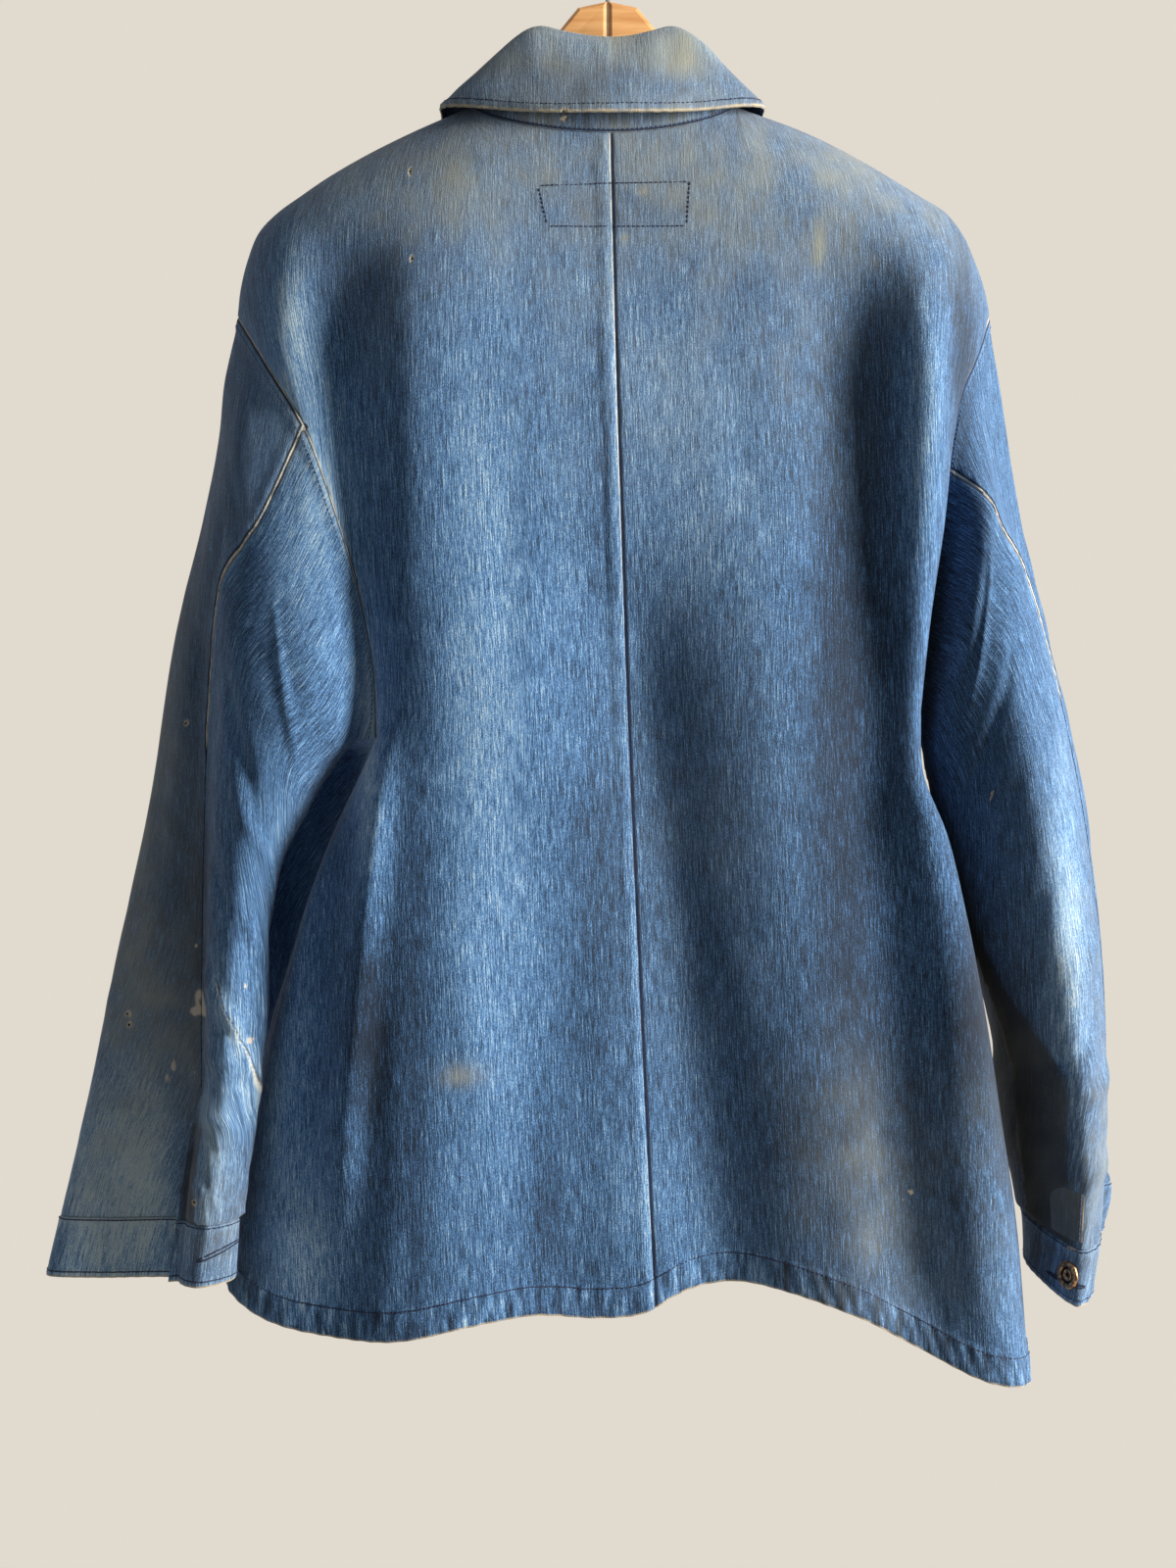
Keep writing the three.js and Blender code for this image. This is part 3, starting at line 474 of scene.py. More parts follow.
# Yellowed and brown places in the same columns
GRIME = [
    [0, -185, 190, 60, 0.9], [150, -210, 110, 60, 0.6], [-120, -190, 80, 60, 0.4], [135, -238, 4, 14, 1.6],
    [-95, -772, 14, 7, 1.1], [-330, -640, 40, 240, 0.8], [-290, -760, 40, 60, 0.6],
    [300, -700, 34, 120, 0.45], [318, -840, 30, 60, 0.7], [-250, -860, 30, 60, 0.5],
    [180, -860, 70, 90, 0.5], [21, -207, 4, 3, 1.6], [10, -237, 3, 3, 1.5],
    [60, -320, 130, 90, 0.35], [60, -600, 60, 200, 0.25], [-150, -250, 60, 60, 0.2],
]
# Paint and scratches: x, z, half width, half height
SPECKS = [
    [196, -850, 3, 2.4], [190, -856, 1.6, 1.4], [174, -200, 16, 0.9], [-289, -775, 1.6, 8],
    [-293, -780, 1.2, 6], [-275, -778, 1.8, 3], [120, -500, 1.8, 1.4], [-234, -716, 1.6, 2.4],
    [-272, -728, 4.5, 7], [-267, -736, 5, 5], [-276, -738, 5, 3], [-232, -752, 3, 3], [-238, -760, 4, 1.2],
    [-20, -690, 1.5, 1.5], [60, -980, 2, 2], [298, -885, 4, 1.5], [-275, -694, 1.5, 2],
]
# Small frayed holes: x, z, radius
HOLES = [
    [-28.5, -155, 2.2], [-128, -190, 1.8], [-125, -253, 2.0], [-283, -545, 2.2],
    [-322, -740, 2.4], [-321, -747, 2.2], [-326, -728, 1.6], [248, -593, 1.4], [-266, -855, 2.2],
]
# Where a tag is sewn on inside the back: x, z
TAG_STITCHES = [[-45, -203], [-39, -230], [50, -229], [52, -200], [4, -201], [-45, -203]]
BUILT = {}


def line_distance(points, path):
    """Distance in mm from each place to a line through x, z places."""
    nearest = np.full(points.shape[:2], 99.0)
    for (x0, z0), (x1, z1) in zip(path[:-1], path[1:]):
        length = (x1 - x0) ** 2 + (z1 - z0) ** 2
        run = clamp(((points[..., 0] - x0) * (x1 - x0) + (points[..., 2] - z0) * (z1 - z0)) / length)
        away = np.hypot(points[..., 0] - mix(x0, x1, run), points[..., 2] - mix(z0, z1, run))
        nearest = np.minimum(nearest, away)
    return nearest


def lines_lift(creases, a, b):
    """How far short creases lift the cloth, with uneven strength along each."""
    lift = 0
    for k, (a0, b0, a1, b1, width, out) in enumerate(creases):
        length = math.hypot(a1 - a0, b1 - b0)
        run = ((a - a0) * (a1 - a0) + (b - b0) * (b1 - b0)) / length ** 2
        bend = width * 0.5 * np.sin(run * 2.6 + k)
        away = ((a - a0) * (b1 - b0) - (b - b0) * (a1 - a0)) / length + bend
        ends = ease(run / 0.35) * ease((1 - run) / 0.35)
        lift = lift + out * ends * bump(away, width) * (0.8 + 0.3 * np.sin(run * 7 + 2 * k))
    return lift


def round_lift(creases, q, t):
    """The same for creases that cross a sleeve, in shares of its girth and length."""
    lift = 0
    for k, (q0, t0, q1, t1, along_half, out) in enumerate(creases):
        run = (q - q0) / (q1 - q0)
        middle = mix(t0, t1, run) + along_half * 0.6 * np.sin(run * 4 + k)
        ends = ease(run / 0.4 + 0.2) * ease((1 - run) / 0.4 + 0.2)
        lift = lift + out * ends * bump(t - middle, along_half)
    return lift


def spots(table, x, z, seed, ragged=1.0):
    """Soft patches with ragged edges, added up from a table."""
    total = x * 0
    rag = 1 + ragged * (0.35 * mottle(x, z, 14, seed) + 0.2 * mottle(x, z, 5, seed + 1))
    for row in table:
        reach = ((x - row[0]) / row[2]) ** 2 + ((z - row[1]) / row[3]) ** 2
        total = total + row[4] * np.exp(-reach) * rag
    return total


def lengths(points, axis):
    """Length run along a grid from its first row, and left to its last row."""
    step = np.linalg.norm(np.diff(points, axis=axis), axis=-1)
    run = np.concatenate([np.zeros_like(step.take([0], axis)), np.cumsum(step, axis)], axis)
    return run, run.take([-1], axis) - run


def directions(points, sign):
    """Outward direction at each place of a grid."""
    n = np.cross(np.gradient(points, axis=0), np.gradient(points, axis=1)) * sign
    size = np.linalg.norm(n, axis=-1, keepdims=True)
    return n / np.maximum(size, 1e-9)


def make_object(name, points, faces, materials=()):
    """A smooth mesh object that rides on the jacket, from places in mm."""
    mesh = bpy.data.meshes.new(name)
    mesh.from_pydata((np.asarray(points).reshape(-1, 3) * MM).tolist(), [], faces)
    mesh.polygons.foreach_set("use_smooth", [True] * len(mesh.polygons))
    mesh.set_sharp_from_angle(angle=math.radians(48))
    for material in materials:
        mesh.materials.append(material)
    made = bpy.data.objects.new(name, mesh)
    bpy.context.scene.collection.objects.link(made)
    return made


def grid_faces(rows, columns, start=0):
    """Four-sided faces of a grid of places."""
    at = np.arange(rows * columns).reshape(rows, columns) + start
    return np.stack([at[:-1, :-1], at[1:, :-1], at[1:, 1:], at[:-1, 1:]], -1).reshape(-1, 4)


def build_cloth(node, points, sign, marks, lift, thick=1.3):
    """A thin cloth shell for one CAD node, with its wear and its painted light and shade kept as values at
    each place.

    marks holds the distances in mm from seam, edge and centre that its colours and sewing use.
    """
    facing = directions(points, sign)
    rows, columns = points.shape[:2]
    outer = points + facing * lift[..., None]
    inner = outer - facing * thick
    count = rows * columns
    at = np.arange(count).reshape(rows, columns)
    front = grid_faces(rows, columns)
    back = grid_faces(rows, columns, count)[:, ::-1]
    ring = np.concatenate([at[:, 0], at[-1, 1:], at[-2::-1, -1], at[0, -2:0:-1]])
    after = np.roll(ring, -1)
    rim = np.stack([after, ring, ring + count, after + count], -1)
    faces = np.concatenate([front, back, rim])
    if sign < 0:
        faces = faces[:, ::-1]
    made = make_object("cloth_" + node, np.concatenate([outer.reshape(-1, 3), inner.reshape(-1, 3)]),
                       faces.tolist(), [bpy.data.materials["Worn denim"]])
    mesh = made.data
    across = lengths(points, 0)[0] if marks.get("across") is None else marks["across"]
    down = lengths(points, 1)[0] if marks.get("down") is None else marks["down"]
    grain = np.stack([across, down], -1).reshape(-1, 2) * MM
    loops = np.zeros(len(mesh.loops), int)
    mesh.loops.foreach_get("vertex_index", loops)
    layer = mesh.uv_layers.new(name="grain")
    layer.data.foreach_set("uv", np.tile(grain, (2, 1))[loops].astype(np.float32).ravel())
    x, z = outer[..., 0], outer[..., 2]
    near = marks.get("near", 1.0)
    values = {
        "seam": marks["seam"], "edge": marks["edge"], "band": marks.get("band", x * 0),
        "rubbed": marks.get("rubbed", 0.85), "sewn": marks.get("sewn", 99.0),
        "crest": marks.get("crest", marks["seam"]),
        # Faded dye, plus painted light and painted shade from the table and from each piece
        "fade_and_painted_light": spots(FADES_AND_PAINTED_LIGHT, x, z, 3, 0.25) + marks.get("fade_and_painted_light", 0) - 0.05 * lift,
        "grime": spots(GRIME, x, z, 7) * near + marks.get("grime", 0),
        "speck": sum(np.exp(-(((x - a) / w) ** 2 + ((z - b) / h) ** 2)) for a, b, w, h in SPECKS) * near,
        "hole": sum(bump(np.hypot(x - a, z - b), r) for a, b, r in HOLES) * near,
    }
    for label, value in values.items():
        both = np.tile(np.broadcast_to(value, x.shape).ravel(), 2).astype(np.float32)
        mesh.attributes.new(label, "FLOAT", "POINT").data.foreach_set("value", both)
    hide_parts(node)
    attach(made, "root")
    BUILT[node] = {"points": outer, "facing": facing, **marks}
    return made


def ridge(distance, width, height):
    """A flat raised band beside a seam."""
    return height * (1 - ease((distance - width) / 2))


def roping(run, distance, width, pitch, seed):
    """Slanting puckers that a turned and washed hem gets."""
    wave = np.sin(2 * math.pi * (run / pitch + distance * 0.035) + 2.2 * mottle(run, run * 0, 60, seed))
    return wave * (1 - ease((distance - width * 0.6) / (width * 0.9))) * (
        0.55 + 0.35 * mottle(run, distance, 30, seed + 1))


def body_steps(count_s, count_t):
    """Columns and rows of a body panel, closer together at its edges."""
    w = np.linspace(0, 1, count_s)
    edge = clamp((w - 0.75) / 0.25)
    s = np.where(w < 0.75, w * 0.93 / 0.75, 1 - 0.07 * (1 - edge) ** 3)
    top = 0.055 * np.linspace(0, 1, 14)[:-1] ** 2
    t = np.concatenate([top, np.linspace(0.055, 0.955, count_t - 29), np.linspace(0.955, 1, 17)[1:]])
    return s, t


def build_body(side, face, count_s, count_t):
    """One half of the back or one front."""
    s, t = body_steps(count_s, count_t)
    if face > 0:
        s = np.concatenate([np.linspace(-0.06, 0, 9)[:-1], s])
    points = body(side, face, s[:, None], t[None, :])
    x, z = points[..., 0], points[..., 2]
    from_middle, to_side = lengths(points, 0)
    from_top, to_hem = lengths(points, 1)
    arm = np.where(t[None, :] <= UNDERARM_SHARE, to_side, 99)
    middle = from_middle if face < 0 else 99
    lift = lines_lift(BACK_CREASES if face < 0 else FRONT_CREASES, x, z)
    lift = lift + 0.5 * mottle(x, z * 0.45, 30, 11 + side + 5 * face) * ease(from_top / 60)
    lift = lift * ease(to_side / 25) * ease((to_hem + 10) / 40) * ease((from_middle + 2) / 12)
    puckers = 0.22 * mottle(z, x, 7, 21 + side) + 0.16 * mottle(z, x, 3.4, 24 + side)
    if face < 0:
        lift = lift + ridge(from_middle, 8, 0.7 if side < 0 else 0) - 0.7 * bump(from_middle, 1.4)
        lift = lift + puckers * bump(from_middle, 9)
    lift = lift + 2.2 * puckers * bump(arm, 8) - 0.5 * bump(arm, 1.6)
    lift = lift + ridge(to_hem, HEM_BAND, 0.9) - 0.8 * bump(to_hem, 1.2)
    lift = lift + 0.7 * roping(from_middle + 300, to_hem, 21, 13, 31 + side + face)
    lift = lift * ease(from_top / 5)
    side_seam = np.where(t[None, :] > UNDERARM_SHARE, to_side, 99)
    start = 690 if side < 0 else 730
    lift = lift + (3.5 + side * 0.5) * (1 - ease(to_side / 16)) * ease((-z - start) / 60)
    sewn = np.abs(to_hem - HEM_BAND)
    marks = {
        "seam": np.minimum(np.minimum(middle + (0.6 if side > 0 else 4.0), arm + 1.9), side_seam + 0.6),
        "crest": np.minimum(np.minimum(middle + (9.0 if side > 0 else 0.4), arm + 1.4), side_seam + 0.6),
        "rubbed": np.where(from_middle < 20, 0.1 + 0.85 * ease((z + 520) / 160), 0.85),
        "edge": to_hem, "to_hem": to_hem, "side_seam": side_seam, "sewn": sewn,
        "band": 1 - ease((to_hem - HEM_BAND) / 2), "across": from_middle * side, "down": from_top,
        "near": 1.0 if face < 0 else 0.0,
    }
    node = ("back_" if face < 0 else "front_") + SIDES[side]
    return build_cloth(node, points, side * face, marks, np.broadcast_to(lift, x.shape))


# The left sleeve's second seam, twisted round to the back at the elbow: x, z
TWISTED_SEAM = [[-253, -713], [-246, -733], [-236, -757], [-232, -776], [-230, -799], [-229, -820]]
# Sharp folds of the sleeves, pulled down to the cuffs: x, z
RIGHT_CREST = [[198, -560], [220, -617], [236, -648], [247, -676], [266, -719], [287, -753],
               [298, -772], [301, -789], [301, -830]]
LEFT_CREST = [[-258, -800], [-261, -830], [-262, -860], [-264, -900]]


def fold_side(points, path):
    """Distance to a fold line, and how far a place lies on its left."""
    x, z = points[..., 0], points[..., 2]
    line = np.array(path, float)[::-1]
    away = line_distance(points, path)
    left = np.interp(z, line[:, 1], line[:, 0]) - x
    return away, np.where(left > 0, np.minimum(left, 99), 0)


def build_sleeve(side, under, count_q, count_t):
    """The under or the top piece of one sleeve."""
    q = np.linspace(0, FRONT_SEAM, count_q) if under else np.linspace(FRONT_SEAM, 10, count_q)
    t = np.concatenate([np.linspace(0, 0.06, 12)[:-1], np.linspace(0.06, CUFF_SHARE, count_t - 11)])
    points = sleeve(side, q, t)
    from_arm, to_cuff = lengths(points, 1)
    from_first, to_last = lengths(points, 0)
    back_seam, front_seam = (from_first, to_last) if under else (to_last, from_first)
    grid_q, grid_t = np.broadcast_arrays(q[:, None], t[None, :])
    lift = round_lift(SLEEVE_CREASES[side], grid_q, grid_t)
    seed = 41 + side * 4 + under
    lift = lift + 0.7 * mottle(from_first, from_arm * 1.3, 26, seed) * ease(from_arm / 40)
    lift = lift + 1.0 * mottle(from_first, from_arm * 2.4, 30, seed + 3) * ease((grid_t - 0.55) / 0.25)
    sides = ease(back_seam / 14) * ease(front_seam / 14)
    sides = sides * (1 - 0.85 * bump(grid_q - 8, 0.9) * (side < 0))
    lift = lift * sides * ease(from_arm / 18) * ease(to_cuff / 8)
    puckers = 0.25 * mottle(from_arm, from_first, 7, seed + 5)
    puckers = puckers + 0.2 * mottle(from_arm, from_first, 3.5, seed)
    fade_and_painted_light = 0.0
    hidden = 7 * ease((grid_t - 0.42) / 0.08)
    seam = np.minimum(np.minimum(back_seam, front_seam) + hidden, from_arm)
    crest = seam + 0.0
    nearer = points[..., 1] < -12 + 10 * side
    if under and side < 0:
        twist = np.where(nearer, line_distance(points, TWISTED_SEAM), 99.0)
        lift = lift + 1.3 * bump(twist, 3.5)
        crest = np.minimum(crest, twist + 0.3)
        seam = np.minimum(seam, np.where(points[..., 0] > np.interp(
            points[..., 2], [-820, -799, -776, -757, -733, -713], [-229, -230, -232, -236, -246, -253]),
            twist + 0.6, 99))
        lift = lift + 3.5 * bump(grid_q - 4, 1.3) * ease((grid_t - 0.6) / 0.12)
        away, turned = fold_side(points, LEFT_CREST)
        lift = lift + 3 * bump(away, 12) * nearer
        # A painted highlight beside the fold line and painted shade on the side turned away from it, below
        # the elbow
        fade_and_painted_light = (0.8 * bump(away - 4, 12) - 1.6 * ease(turned / 4) * (1 - ease((turned - 14) / 6))
                * ease((-790 - points[..., 2]) / 30)) * nearer
    if under and side > 0:
        away, turned = fold_side(points, RIGHT_CREST)
        lift = lift + 5 * bump(away, 17) * nearer
        lift = lift + 4 * bump(grid_q - 4, 1.2) * ease((grid_t - 0.74) / 0.08)
        # Painted shade over the inner side left of the fold line, and a painted highlight along the fold's
        # crest
        fade_and_painted_light = (-1.5 * ease(turned / 5) * (1 - ease((turned - 70) / 10)) + 0.25 * bump(away, 6)
                ) * ease((-560 - points[..., 2]) / 60) * nearer
    if not under:
        lift = lift + ridge(back_seam, 9, 0.7)
    if not under and side < 0:
        # Painted shade over the middle of the left sleeve's far piece
        fade_and_painted_light = -0.25 * ease((grid_t - 0.2) / 0.3) * (1 - ease((grid_t - 0.75) / 0.15))
    lift = lift - 0.6 * bump(back_seam, 1.4) + ridge(from_arm, 8, 0.8) - 0.5 * bump(from_arm, 1.2)
    lift = lift + 1.3 * puckers * (bump(seam, 8) + bump(to_cuff, 10)) * ease(from_arm / 2)
    lift = lift * ease(to_cuff / 2 + 0.2)
    marks = {
        "seam": seam + (1.2 if under else 0.4), "crest": crest, "edge": to_cuff + 99,
        "from_arm": from_arm, "across": from_first, "fade_and_painted_light": fade_and_painted_light,
        "grime": 0.0 if under else 0.3 * (side < 0),
    }
    node = ("sleeve_under_" if under else "sleeve_top_") + SIDES[side]
    return build_cloth(node, points, side, marks, lift)


def build_cuff(side):
    """A cuff band, stitched at its top and along its end."""
    q, t = np.linspace(0, 10, 170), np.linspace(CUFF_SHARE, 1, 22)
    points = sleeve(side, q, t)
    from_top, to_end = lengths(points, 1)
    from_first, to_last = lengths(points, 0)
    seed = 61 + side
    lift = 0.8 * ease(from_top / 1.5) - 0.7 * bump(to_end, 1.2) - 0.5 * bump(from_top, 1.0)
    lift = lift + 0.5 * mottle(from_first, from_top * 0.6, 16, seed) * ease(to_end / 6)
    lift = lift + 0.6 * roping(from_first, to_end, 7, 9, seed)
    lift = lift + 0.5 * roping(from_first, from_top, 6, 8, seed + 4)
    lift = lift * ease(from_first / 3 + 0.3) * ease(to_last / 3 + 0.3)
    seam = np.minimum(from_top, to_end)
    marks = {"seam": seam + 2.6, "crest": seam + 0.8, "edge": to_end,
             "from_top": from_top, "to_end": to_end,
             "sewn": np.minimum(np.abs(from_top - CUFF_STITCH["from_top"]),
                                np.abs(to_end - CUFF_STITCH["to_end"])),
             "across": from_first, "band": 0.5, "fade_and_painted_light": 0.12, "grime": 0.15}
    return build_cloth("cuff_" + SIDES[side], points, side, marks, lift)


def build_strip(side):
    """The narrow strip that finishes the sleeve slit above the cuff."""
    if side < 0:
        q, t = np.linspace(9.76, 10, 10), np.linspace(0.875, 0.928, 20)
    else:
        q, t = np.linspace(2, 2.667, 14), np.linspace(0.835, 0.928, 28)
    points = sleeve(side, q, t)
    run, left = lengths(points, 0)
    top = lengths(points, 1)[0]
    edge = np.minimum(run, left)
    lift = 1.7 - 0.6 * bump(np.minimum(edge, top), 1.0) + 0.2 * mottle(top, run, 6, 71)
    # The right strip is painted darker: painted shade, as on the sleeve's inner side beneath it
    marks = {"seam": edge + 2.4, "crest": edge + 0.9, "edge": edge + 0.8, "run": edge, "across": run,
             "fade_and_painted_light": -0.9 if side > 0 else 0.1, "grime": 0.5}
    return build_cloth("slit_strip_" + SIDES[side], points, side, marks, lift, thick=1.0)


def build_pocket(side):
    """A hip pocket on a front."""
    s, t = np.linspace(0.24, 0.79, 60), np.linspace(0.62, 0.8575, 60)
    points = body(side, 1, s[:, None], t[None, :])
    left, right = lengths(points, 0)
    top, low = lengths(points, 1)
    edge = np.minimum(np.minimum(left, right), low)
    lift = CLOTH + 0.3 - 0.5 * bump(np.minimum(edge, top), 1.2) + ridge(top, 22, 0.6)
    lift = lift + 0.25 * mottle(top, left, 18, 81 + side)
    marks = {"seam": np.minimum(edge, top) + 0.3, "edge": edge, "rim": edge, "top": top,
             "across": left, "near": 0.0}
    return build_cloth("pocket_" + SIDES[side], points, side, marks, lift, thick=1.1)


def build_collar(leaf):
    """The collar's stand, or the leaf that turns down over it."""
    if leaf:
        w = np.linspace(-0.985, 0.985, 260)
        h = np.concatenate([np.linspace(0, 0.4, 18), np.linspace(0.4, 1, 30)[1:]])
        w2, h2 = np.broadcast_arrays(w[:, None], h[None, :])
        points = collar_leaf(w2, h2)
        run, _ = lengths(points, 0)
        run = run - run[[len(w) // 2]]
        top, low = lengths(points, 1)
        fold = ease((h2 - 0.15) / 0.4)
        lift = 1.2 * mottle(run, top * 0.5, 34, 91) * fold + 0.6 * mottle(run, top * 0.4, 13, 92) * fold
        lift = lift * ease(low / 14 + 0.15) - 0.8 * bump(low, 1.0) + 0.35 * bump(low - 3, 2)
        lift = lift + 0.35 * roping(run, low, 7, 8, 93)
        marks = {"seam": low + 99, "edge": low, "low": low, "across": run, "down": top,
                 "sewn": np.abs(low - COLLAR_STITCH),
                 "fade_and_painted_light": 0.1 + 0.5 * ease((low - 26) / 22) + 0.3 * mottle(run, top, 22, 97),
                 "grime": 0.25 + 1.3 * ease((low - 14) / 24) * (0.8 + 0.5 * mottle(run, top, 26, 98))}
        return build_cloth("collar_leaf", points, -1, marks, lift)
    w, h = np.linspace(-0.985, 0.985, 200), np.linspace(0, 1, 16)
    w2, h2 = np.broadcast_arrays(w[:, None], h[None, :])
    points = collar_stand(w2, h2)
    run, _ = lengths(points, 0)
    run = run - run[[len(w) // 2]]
    up, _ = lengths(points, 1)
    lift = 0.3 * mottle(run, up, 12, 95) * ease(up / 4)
    marks = {"seam": up + 0.4, "crest": up + 9, "edge": up + 99, "up": up, "across": run,
             "down": up, "fade_and_painted_light": -0.25, "band": 0.8}
    return build_cloth("collar_stand", points, 1, marks, lift)


# Sewing
def follow(node, mark, value, axis):
    """Places and directions along the line on a piece where a distance has one value."""
    piece = BUILT[node]
    points, facing, distance = piece["points"], piece["facing"], piece[mark]
    distance = np.broadcast_to(distance, points.shape[:2])
    if axis == 0:
        points, facing = np.swapaxes(points, 0, 1), np.swapaxes(facing, 0, 1)
        distance = distance.T
    crossed = (distance[:, :-1] - value) * (distance[:, 1:] - value) <= 0
    rows = np.flatnonzero(crossed.any(1))
    j = crossed[rows].argmax(1)
    span = distance[rows, j + 1] - distance[rows, j]
    w = ((value - distance[rows, j]) / np.where(span == 0, 1, span))[:, None]
    return mix(points[rows, j], points[rows, j + 1], w), mix(facing[rows, j], facing[rows, j + 1], w)


def on_cloth(nodes, places):
    """Places and directions on the side of some pieces that faces back, at x, z positions."""
    points = np.concatenate([BUILT[node]["points"].reshape(-1, 3) for node in nodes])
    facing = np.concatenate([BUILT[node]["facing"].reshape(-1, 3) for node in nodes])
    points, facing = points[facing[:, 1] < -0.15], facing[facing[:, 1] < -0.15]
    near = [np.hypot(points[:, 0] - x, points[:, 2] - z).argmin() for x, z in places]
    spots = np.stack([places[:, 0], points[near, 1], places[:, 1]], -1)
    return spots, facing[near]


def stitches(name, rows, material, pitch=3.1, half=1.15, width=0.34):
    """Many small rounded stitches in one mesh, laid along rows of places."""
    places, faces = [], []
    ring = np.arange(6) * math.pi / 3
    around = np.stack([np.cos(ring), np.sin(ring)], -1)
    for points, facing in rows:
        run = np.concatenate([[0], np.cumsum(np.linalg.norm(np.diff(points, axis=0), axis=1))])
        keep = np.concatenate([[True], np.diff(run) > 1e-6])
        run, points, facing = run[keep], points[keep], facing[keep]
        for at in np.arange(pitch, run[-1] - half, pitch):
            spot = [np.array([np.interp(at + d, run, points[:, c]) for c in range(3)])
                    for d in (-half, 0, half)]
            up = np.array([np.interp(at, run, facing[:, c]) for c in range(3)])
            way = spot[2] - spot[0]
            size = np.linalg.norm(way)
            if size > 3 * half or size < half:
                continue
            way, up = way / size, up / np.linalg.norm(up)
            over = np.cross(up, way)
            start = len(places)
            middle = spot[1] + up * 0.12
            places.append(spot[0] - up * 0.1)
            for reach in (-0.62, 0.62):
                centre = middle + way * reach * half
                places.extend(centre + over * a * width + up * b * width * 0.8 for a, b in around)
            places.append(spot[2] - up * 0.1)
            for k in range(6):
                m = (k + 1) % 6
                faces.append((start, start + 1 + m, start + 1 + k))
                faces.append((start + 1 + k, start + 1 + m, start + 7 + m, start + 7 + k))
                faces.append((start + 13, start + 7 + k, start + 7 + m))
    made = make_object(name, places, faces, [material])
    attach(made, "root")
    return made


# Materials
def linear(code):
    """A colour written as six hex digits, as linear light."""
    values = [int(code[k:k + 2], 16) / 255 for k in (0, 2, 4)]
    return [v / 12.92 if v <= 0.04045 else ((v + 0.055) / 1.055) ** 2.4 for v in values] + [1.0]


def add_node(tree, kind, links=None, **settings):
    """Adds one shader node, sets its values and joins its inputs."""
    made = tree.nodes.new("ShaderNode" + kind)
    for key, value in settings.items():
        if hasattr(made, key):
            setattr(made, key, value)
    for key, value in (links or {}).items():
        socket = made.inputs[key]
        if isinstance(value, bpy.types.NodeSocket):
            tree.links.new(value, socket)
        else:
            socket.default_value = value
    return made


def new_material(name):
    """An empty material with its shader and output."""
    material = bpy.data.materials.new(name)
    material.use_nodes = True
    tree = material.node_tree
    tree.nodes.clear()
    shader = add_node(tree, "BsdfPrincipled")
    add_node(tree, "OutputMaterial", {"Surface": shader.outputs[0]})
    return material, tree, shader


